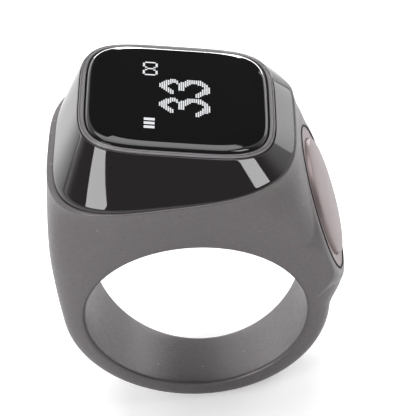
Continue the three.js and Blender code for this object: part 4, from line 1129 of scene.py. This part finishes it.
@dataclass(frozen=True)
class Finish:
    """A surface with a fine grain, a soft mottle and a little unevenness in its gloss."""

    name: str
    colour: str
    roughness: float
    metallic: float = 0.0
    grain: float = 0.2
    grain_depth: float = 0.004
    mottle: float = 0.05
    mottle_size: float = 3.0
    gloss_drift: float = 0.04

    def material(self) -> bpy.types.Material:
        """Makes the material."""
        material = bpy.data.materials.new(self.name)
        material.use_nodes = True
        tree = material.node_tree
        shader = tree.nodes["Principled BSDF"]
        shader.inputs["Metallic"].default_value = self.metallic
        place = add_node(tree, "ShaderNodeTexCoord").outputs["Object"]
        tree.links.new(self.colour_of(tree, place), shader.inputs["Base Color"])
        tree.links.new(self.roughness_of(tree, place), shader.inputs["Roughness"])
        tree.links.new(self.relief_of(tree, place), shader.inputs["Normal"])
        self.dress(shader)
        return material

    def colour_of(self, tree: Tree, place: Socket) -> Socket:
        """Returns the socket that gives the colour: the base colour with a soft mottle."""
        cloud = add_node(tree, "ShaderNodeTexNoise",
                         {"Vector": place, "Scale": per_mm(self.mottle_size), "Detail": 4.0})
        return add_node(tree, "ShaderNodeMix",
                        {"Factor": cloud.outputs[0], 6: tinted(self.colour, 1 - self.mottle),
                         7: tinted(self.colour, 1 + self.mottle)}, data_type="RGBA").outputs[2]

    def roughness_of(self, tree: Tree, place: Socket) -> Socket:
        """Returns the socket that gives the roughness, which drifts over the surface."""
        drift = add_node(tree, "ShaderNodeTexNoise",
                         {"Vector": place, "Scale": per_mm(self.mottle_size * 1.7), "Detail": 3.0})
        low, high = self.roughness - self.gloss_drift, self.roughness + self.gloss_drift
        return add_node(tree, "ShaderNodeMapRange",
                        {"Value": drift.outputs[0], "From Min": 0.3, "From Max": 0.7,
                         "To Min": max(0.01, low), "To Max": high}).outputs[0]

    def relief_of(self, tree: Tree, place: Socket) -> Socket:
        """Returns the socket that gives the relief of the grain."""
        grain = add_node(tree, "ShaderNodeTexNoise",
                         {"Vector": place, "Scale": per_mm(self.grain), "Detail": 2.0})
        return bump(tree, grain.outputs[0], self.grain_depth)

    def dress(self, shader: bpy.types.Node) -> None:
        """Sets what else the shader needs; plain finishes need nothing."""


@dataclass(frozen=True)
class BlastedMetal(Finish):
    """Bead-blasted and anodised alloy: matt, with painted highlights: light specks in the base colour stand
    for the sparkle where single beads hit flat.
    """

    speck_share: float = 0.12
    speck_size: float = 0.8
    speck_core: float = 0.05
    speck_edge: float = 0.11
    speck_cover: float = 0.55
    speck_colour: str = "#b9b4ae"

    def colour_of(self, tree: Tree, place: Socket) -> Socket:
        """Paints a few light specks, each in its own cell, into the mottled base colour: painted glints."""
        base = super().colour_of(tree, place)
        cells = add_node(tree, "ShaderNodeTexVoronoi",
                         {"Vector": place, "Scale": per_mm(self.speck_size)})
        pick = add_node(tree, "ShaderNodeSeparateColor", {0: cells.outputs["Color"]})
        chosen = maths(tree, "GREATER_THAN", pick.outputs[0], 1 - self.speck_share)
        near = add_node(tree, "ShaderNodeMapRange",
                        {"Value": cells.outputs["Distance"], "From Min": self.speck_core,
                         "From Max": self.speck_edge, "To Min": self.speck_cover, "To Max": 0.0})
        # Painted highlight: the chosen cells' light specks stand for glints of the blasted surface.
        painted_glint = maths(tree, "MULTIPLY", chosen, near.outputs[0])
        return add_node(tree, "ShaderNodeMix",
                        {"Factor": painted_glint, 6: base, 7: linear(self.speck_colour)},
                        data_type="RGBA").outputs[2]


@dataclass(frozen=True)
class GlossMoulding(Finish):
    """Gloss black moulding: a mirror-like skin with the slow waves that moulded facets show."""

    wave: float = 5.0
    wave_depth: float = 0.006

    def relief_of(self, tree: Tree, place: Socket) -> Socket:
        """Returns the socket that gives the slow waves."""
        waves = add_node(tree, "ShaderNodeTexNoise",
                         {"Vector": place, "Scale": per_mm(self.wave), "Detail": 1.0})
        return bump(tree, waves.outputs[0], self.wave_depth)

    def dress(self, shader: bpy.types.Node) -> None:
        """Gives the moulding the index of a clear-coated plastic."""
        shader.inputs["IOR"].default_value = 1.6


@dataclass(frozen=True)
class BlackGlass(Finish):
    """Polished glass with black print behind it: a smooth mirror over a deep black."""

    def dress(self, shader: bpy.types.Node) -> None:
        """Gives the glass its index."""
        shader.inputs["IOR"].default_value = 1.5


@dataclass(frozen=True)
class TurnedMetal(Finish):
    """Satin metal turned on a lathe: fine rings about the button's own axis, drawn coarser than real."""

    line: float = 0.12
    line_depth: float = 0.002

    def relief_of(self, tree: Tree, place: Socket) -> Socket:
        """Returns the socket that gives the rings left by the tool."""
        angle = math.radians(SEAT.tilt)
        centre = Vector((SEAT.x, 0, SEAT.height)) * MM
        spun = add_node(tree, "ShaderNodeMapping",
                        {"Vector": place, "Location": centre, "Rotation": (0, -angle, 0)},
                        vector_type="TEXTURE")
        rings = add_node(tree, "ShaderNodeTexWave",
                         {"Vector": spun.outputs[0], "Scale": per_mm(self.line) / 20, "Distortion": 0.4},
                         wave_type="RINGS", rings_direction="X")
        return bump(tree, rings.outputs[0], self.line_depth)


@dataclass(frozen=True)
class LitDotFinish(Finish):
    """The lit dots of an organic display: even white light."""

    light: str = "#f4f6f8"
    strength: float = 1.0

    def dress(self, shader: bpy.types.Node) -> None:
        """Makes the dots give light of their own."""
        shader.inputs["Emission Color"].default_value = linear(self.light)
        shader.inputs["Emission Strength"].default_value = self.strength


@dataclass(frozen=True)
class CircuitBoard(Finish):
    """Solder mask over copper: darker green with faint raised tracks."""

    track: float = 1.1
    track_depth: float = 0.03

    def relief_of(self, tree: Tree, place: Socket) -> Socket:
        """Returns the socket that gives the raised tracks."""
        tracks = add_node(tree, "ShaderNodeTexBrick",
                          {"Vector": place, "Scale": per_mm(self.track) / 4, "Mortar Size": 0.03})
        return bump(tree, tracks.outputs["Fac"], self.track_depth)


@dataclass(frozen=True)
class CellFoam(Finish):
    """Open foam: round cells about the size of its grain."""

    def relief_of(self, tree: Tree, place: Socket) -> Socket:
        """Returns the socket that gives the cells."""
        cells = add_node(tree, "ShaderNodeTexVoronoi", {"Vector": place, "Scale": per_mm(self.grain)})
        return bump(tree, cells.outputs["Distance"], self.grain_depth)


# Blasting breaks up every reflection and anodising greys it: a soft sheen, with a fine sparkle that is
# painted into the colour as light specks (painted highlights).
# Real bead marks are about 0.05 mm; they are drawn nearly three times coarser, to be seen at all.
RING_METAL = BlastedMetal("blasted_anodised_alloy", "#625e5f", 0.36, 0.5, grain=0.14, grain_depth=0.03,
                          mottle=0.16, mottle_size=0.35)
# Polished mould walls leave a black mirror, whose slow waves bend the edges of what it mirrors.
COVER_PLASTIC = GlossMoulding("gloss_black_moulding", "#1b1718", 0.04, mottle=0.1, gloss_drift=0.015)
# Stamped and fine-brushed: a quiet grey line that blurs the light round the glass.
BEZEL_METAL = Finish("satin_bezel_metal", "#7f7c7e", 0.4, 0.6, grain=0.1, grain_depth=0.002)
# Ground, polished and printed black from behind: a hard clear mirror over deep black.
DARK_GLASS = BlackGlass("black_backed_glass", "#0f0f0f", 0.03, mottle=0.02, gloss_drift=0.01,
                        grain_depth=0.0002)
# Turned and dyed: the tool's rings draw the light out across the disc, and the dye warms it.
BUTTON_METAL = TurnedMetal("satin_mauve_alloy", "#908283", 0.4, 0.4, mottle=0.04)
# Organic dots give even white light, grey where the gaps between them mix in.
LIT_DOT = LitDotFinish("lit_display_dot", "#30343a", 0.4, strength=0.92)

NODE_FINISHES: dict[str, Finish] = {
    # Pressed rubber is matt and takes the light in.
    "silicone": Finish("black_silicone", "#2b2b2d", 0.85, grain=0.3, grain_depth=0.006),
    # Foamed and cut: open cells, each with its own small shadow.
    "foam": CellFoam("open_cell_foam", "#3a3a3c", 0.95, grain=0.25, grain_depth=0.06, mottle=0.15),
    # Cast between liners: smooth and pale.
    "clear_adhesive": Finish("clear_adhesive", "#cfd4d8", 0.2, grain_depth=0.001),
    # Drawn thin glass over the display's layers: a cold dark sheen.
    "panel_glass": Finish("display_panel_glass", "#2a2f36", 0.08, grain_depth=0.0005),
    # Rolled film with copper below: amber, with a slow ripple in its gloss.
    "film": Finish("amber_polyimide_film", "#c77b25", 0.35, grain=1.2, grain_depth=0.004, mottle=0.12),
    # Moulded and unpainted: even and slightly soft at every edge.
    "white_plastic": Finish("moulded_white_plastic", "#d9d8d4", 0.55),
    # Printed mask over etched copper: green, with the tracks showing as faint ridges.
    "board": CircuitBoard("green_solder_mask", "#1f5c3a", 0.35, mottle=0.15),
    # Pressed from filled resin: dull black with a fine tooth.
    "chip_black": Finish("moulded_chip_compound", "#222224", 0.6, grain=0.08),
    # Fired and glazed: a clean pale shine.
    "ceramic": Finish("white_ceramic", "#e6e3dc", 0.35, grain_depth=0.001),
    # Laminated foil, drawn over the cell: silver, slightly crumpled.
    "pouch": Finish("laminated_pouch_foil", "#b9bcc0", 0.35, 0.8, grain=1.6, grain_depth=0.05),
    # Stamped and barrelled: bright, with softened edges.
    "steel": Finish("bright_steel", "#b4b6b8", 0.28, 1.0, grain=0.15, grain_depth=0.002),
    # Pressed powder, sintered: a dense dull grey with a grain.
    "dense_metal": Finish("sintered_tungsten", "#77797c", 0.45, 1.0, grain=0.12, grain_depth=0.008),
    # Plated over polished brass: a warm mirror.
    "gold_plate": Finish("gold_plated_contact", "#d6a645", 0.22, 1.0, grain=0.2, grain_depth=0.001),
    # Extruded over the strands: a waxy coloured skin.
    "red_wire": Finish("red_wire_insulation", "#b32420", 0.45),
    "black_wire": Finish("black_wire_insulation", "#1c1c1e", 0.45),
    "ring_metal": RING_METAL,
    "cover_plastic": COVER_PLASTIC,
    "bezel_metal": BEZEL_METAL,
    "dark_glass": DARK_GLASS,
    "button_metal": BUTTON_METAL,
}


# Putting it together


def dress(piece: Piece, material: bpy.types.Material) -> None:
    """Gives the piece the material all over."""
    piece.data.materials.clear()
    piece.data.materials.append(material)


def add_piece(piece: Piece, body: str, material: bpy.types.Material,
              replaces: str | None = None) -> None:
    """Dresses a new piece, lets it ride on its body and reports it.

    Args:
        piece: the piece.
        body: the body it moves with.
        material: its finish.
        replaces: the node that it stands for, if any.
    """
    dress(piece, material)
    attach(piece, body)
    if replaces:
        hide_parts(replaces)
    LOG.info("%s: %d faces on %s", piece.name, len(piece.data.polygons), body)


@dataclass
class Studio:
    """The plain floor, the lamps and the camera."""

    floor_colour: str = "#f0f0f0"
    floor_glow: float = 0.35
    mirror_glow: float = 0.08
    floor_size: float = 6.0
    lens: float = 207.69
    distance: float = 0.215864
    aim: tuple[float, float, float] = (0.00219, 0.0, 0.007521)
    azimuth: float = 5.606
    elevation: float = 35.829
    roll: float = -10.159
    front_level: float = 0.18
    back_level: float = 0.95
    card_azimuth: float = 166.0
    card_elevation: float = 31.0
    card_reach: float = 22.0
    card_fade: float = 29.0
    card_level: float = 0.06
    lamp_distance: float = 0.6
    lamp_centre: tuple[float, float, float] = (0.0, 0.0, 0.01)

    def add_floor(self) -> None:
        """Adds the floor under the ring's lowest point."""
        deselect()
        bpy.ops.mesh.primitive_plane_add(size=self.floor_size, location=(0, 0, -STACK.band_radius * MM))
        floor = bpy.context.object
        floor.name = "studio_floor"
        material = bpy.data.materials.new("pale_floor")
        material.use_nodes = True
        tree = material.node_tree
        shader = tree.nodes["Principled BSDF"]
        shader.inputs["Base Color"].default_value = linear(self.floor_colour)
        shader.inputs["Roughness"].default_value = 0.9
        shader.inputs["Specular IOR Level"].default_value = 0.1
        shader.inputs["Emission Color"].default_value = (1, 1, 1, 1)
        path = add_node(tree, "ShaderNodeLightPath").outputs
        direct = maths(tree, "MULTIPLY", path["Is Camera Ray"], self.floor_glow)
        mirrored = maths(tree, "MULTIPLY", path["Is Glossy Ray"], self.mirror_glow)
        tree.links.new(maths(tree, "MAXIMUM", direct, mirrored), shader.inputs["Emission Strength"])
        dress(floor, material)

    def add_lamp(self, name: str, azimuth: float, elevation: float, size: tuple[float, float],
                 radiance: float, roll: float = 0.0) -> None:
        """Adds a softbox that faces the object.

        Args:
            name: the lamp's name.
            azimuth: its direction round the object in degrees, 0 in front and 90 at the button.
            elevation: its direction above the floor in degrees.
            size: its width and height in metres.
            radiance: how bright its face is, where 1 is white.
            roll: how far it is turned about the line to the object, in degrees.
        """
        lamp = bpy.data.lights.new(name, "AREA")
        lamp.shape = "RECTANGLE"
        lamp.size, lamp.size_y = size
        lamp.energy = radiance * math.pi * size[0] * size[1]
        holder = bpy.data.objects.new(name, lamp)
        bpy.context.collection.objects.link(holder)
        direction = towards(azimuth, elevation)
        holder.location = Vector(self.lamp_centre) + direction * self.lamp_distance
        holder.rotation_mode = "QUATERNION"
        turn = Quaternion((0, 0, 1), math.radians(roll))
        holder.rotation_quaternion = direction.to_track_quat("Z", "Y") @ turn

    def add_world(self) -> None:
        """Adds a room that is white at the floor's edge, pale behind the object and dim in front.

        A dark card behind keeps the display black, as it stands in the photograph. Seen directly,
        past the floor's edge, the room is white.
        """
        world = bpy.data.worlds.new("studio_room")
        world.use_nodes = True
        tree = world.node_tree
        direction = add_node(tree, "ShaderNodeTexCoord").outputs["Generated"]
        parts = add_node(tree, "ShaderNodeSeparateXYZ", {0: direction})
        behind = add_node(tree, "ShaderNodeMapRange",
                          {"Value": parts.outputs["Y"], "From Min": 0.0, "From Max": 0.5,
                           "To Min": self.front_level, "To Max": self.back_level},
                          interpolation_type="SMOOTHSTEP")
        low = add_node(tree, "ShaderNodeMapRange",
                       {"Value": parts.outputs["Z"], "From Min": 0.03, "From Max": 0.1,
                        "To Min": 1.0, "To Max": 0.0}, interpolation_type="SMOOTHSTEP")
        room = maths(tree, "MAXIMUM", behind.outputs[0], low.outputs[0])
        card = towards(self.card_azimuth, self.card_elevation)
        near = add_node(tree, "ShaderNodeVectorMath", {0: direction, 1: card}, operation="DOT_PRODUCT")
        shade = add_node(tree, "ShaderNodeMapRange",
                         {"Value": near.outputs["Value"],
                          "From Min": math.cos(math.radians(self.card_fade)),
                          "From Max": math.cos(math.radians(self.card_reach)),
                          "To Min": 1.0, "To Max": self.card_level},
                         interpolation_type="SMOOTHSTEP")
        level = maths(tree, "MULTIPLY", room, shade.outputs[0])
        seen = add_node(tree, "ShaderNodeLightPath").outputs["Is Camera Ray"]
        strength = maths(tree, "MAXIMUM", level, seen)
        background = tree.nodes["Background"]
        tree.links.new(strength, background.inputs["Strength"])
        background.inputs["Color"].default_value = (1, 1, 1, 1)
        bpy.context.scene.world = world

    def add_camera(self) -> None:
        """Adds the camera at the photograph's viewpoint."""
        camera = bpy.data.cameras.new("camera")
        camera.lens, camera.sensor_width = self.lens, 36.0
        camera.clip_start, camera.clip_end = 0.01, 50.0
        holder = bpy.data.objects.new("camera", camera)
        bpy.context.collection.objects.link(holder)
        a, roll = math.radians(self.azimuth), math.radians(self.roll)
        back = towards(self.azimuth, self.elevation)
        right = Vector((math.cos(a), math.sin(a), 0))
        up = back.cross(right)
        side = right * math.cos(roll) + up * math.sin(roll)
        top = -right * math.sin(roll) + up * math.cos(roll)
        holder.rotation_mode = "QUATERNION"
        holder.rotation_quaternion = Matrix((side, top, back)).transposed().to_quaternion()
        holder.location = Vector(self.aim) + back * self.distance
        bpy.context.scene.camera = holder

    def build(self) -> None:
        """Adds all of it."""
        self.add_floor()
        self.add_world()
        self.add_lamp("left_strip", -46, 21.5, (0.28, 0.3), 7.4)
        self.add_lamp("right_strip", 71.5, 49.5, (0.212, 0.16), 7.4, -20)
        self.add_lamp("left_back_box", -138, 11, (0.55, 0.24), 1.2)
        self.add_lamp("right_back_box", 145, 9, (0.25, 0.19), 1.6)
        self.add_lamp("back_strip", 176, 7, (0.5, 0.07), 14.0)
        self.add_lamp("overhead_box", 180, 80, (0.55, 0.5), 3.2)
        self.add_camera()
        bpy.context.scene.view_settings.view_transform = "Standard"


@dataclass
class FingerCounter:
    """The whole object."""

    ring: RingBody = field(default_factory=RingBody)
    cover: SignetCover = field(default_factory=SignetCover)
    bezel: DisplayBezel = field(default_factory=DisplayBezel)
    glass: CoverGlass = field(default_factory=CoverGlass)
    dots: LitDots = field(default_factory=LitDots)
    button: PushButton = field(default_factory=PushButton)

    def build(self) -> None:
        """Builds and dresses every piece, then dresses the nodes that stay."""
        finishes = {slot: finish.material() for slot, finish in NODE_FINISHES.items()}
        for model, body, slot, replaces in (
            (self.ring.build, "ring", "ring_metal", "ring_body"),
            (self.cover.build, "ring", "cover_plastic", "signet_cover"),
            (self.bezel.build, "ring", "bezel_metal", "display_bezel"),
            (self.glass.build, "ring", "dark_glass", "display_glass"),
            (self.button.build, "button", "button_metal", "button_cap"),
            # The black lip round the button is painted shade: a dark piece for the seam's dark line.
            (self.button.build_seam_shade_lip, "ring", "silicone", None),
        ):
            add_piece(model(), body, finishes[slot], replaces)
        lit = LIT_DOT.material()
        for sign in self.dots.build():
            add_piece(sign, "ring", lit)
        for row in frame["record"]["subparts"]:
            dress(frame["nodes"][row["node"]], finishes[row["material_slot"]])


def main() -> None:
    """Builds the object and the studio round it."""
    logging.basicConfig(level=logging.INFO, format="%(message)s")
    FingerCounter().build()
    Studio().build()


if __name__ == "__main__":
    main()
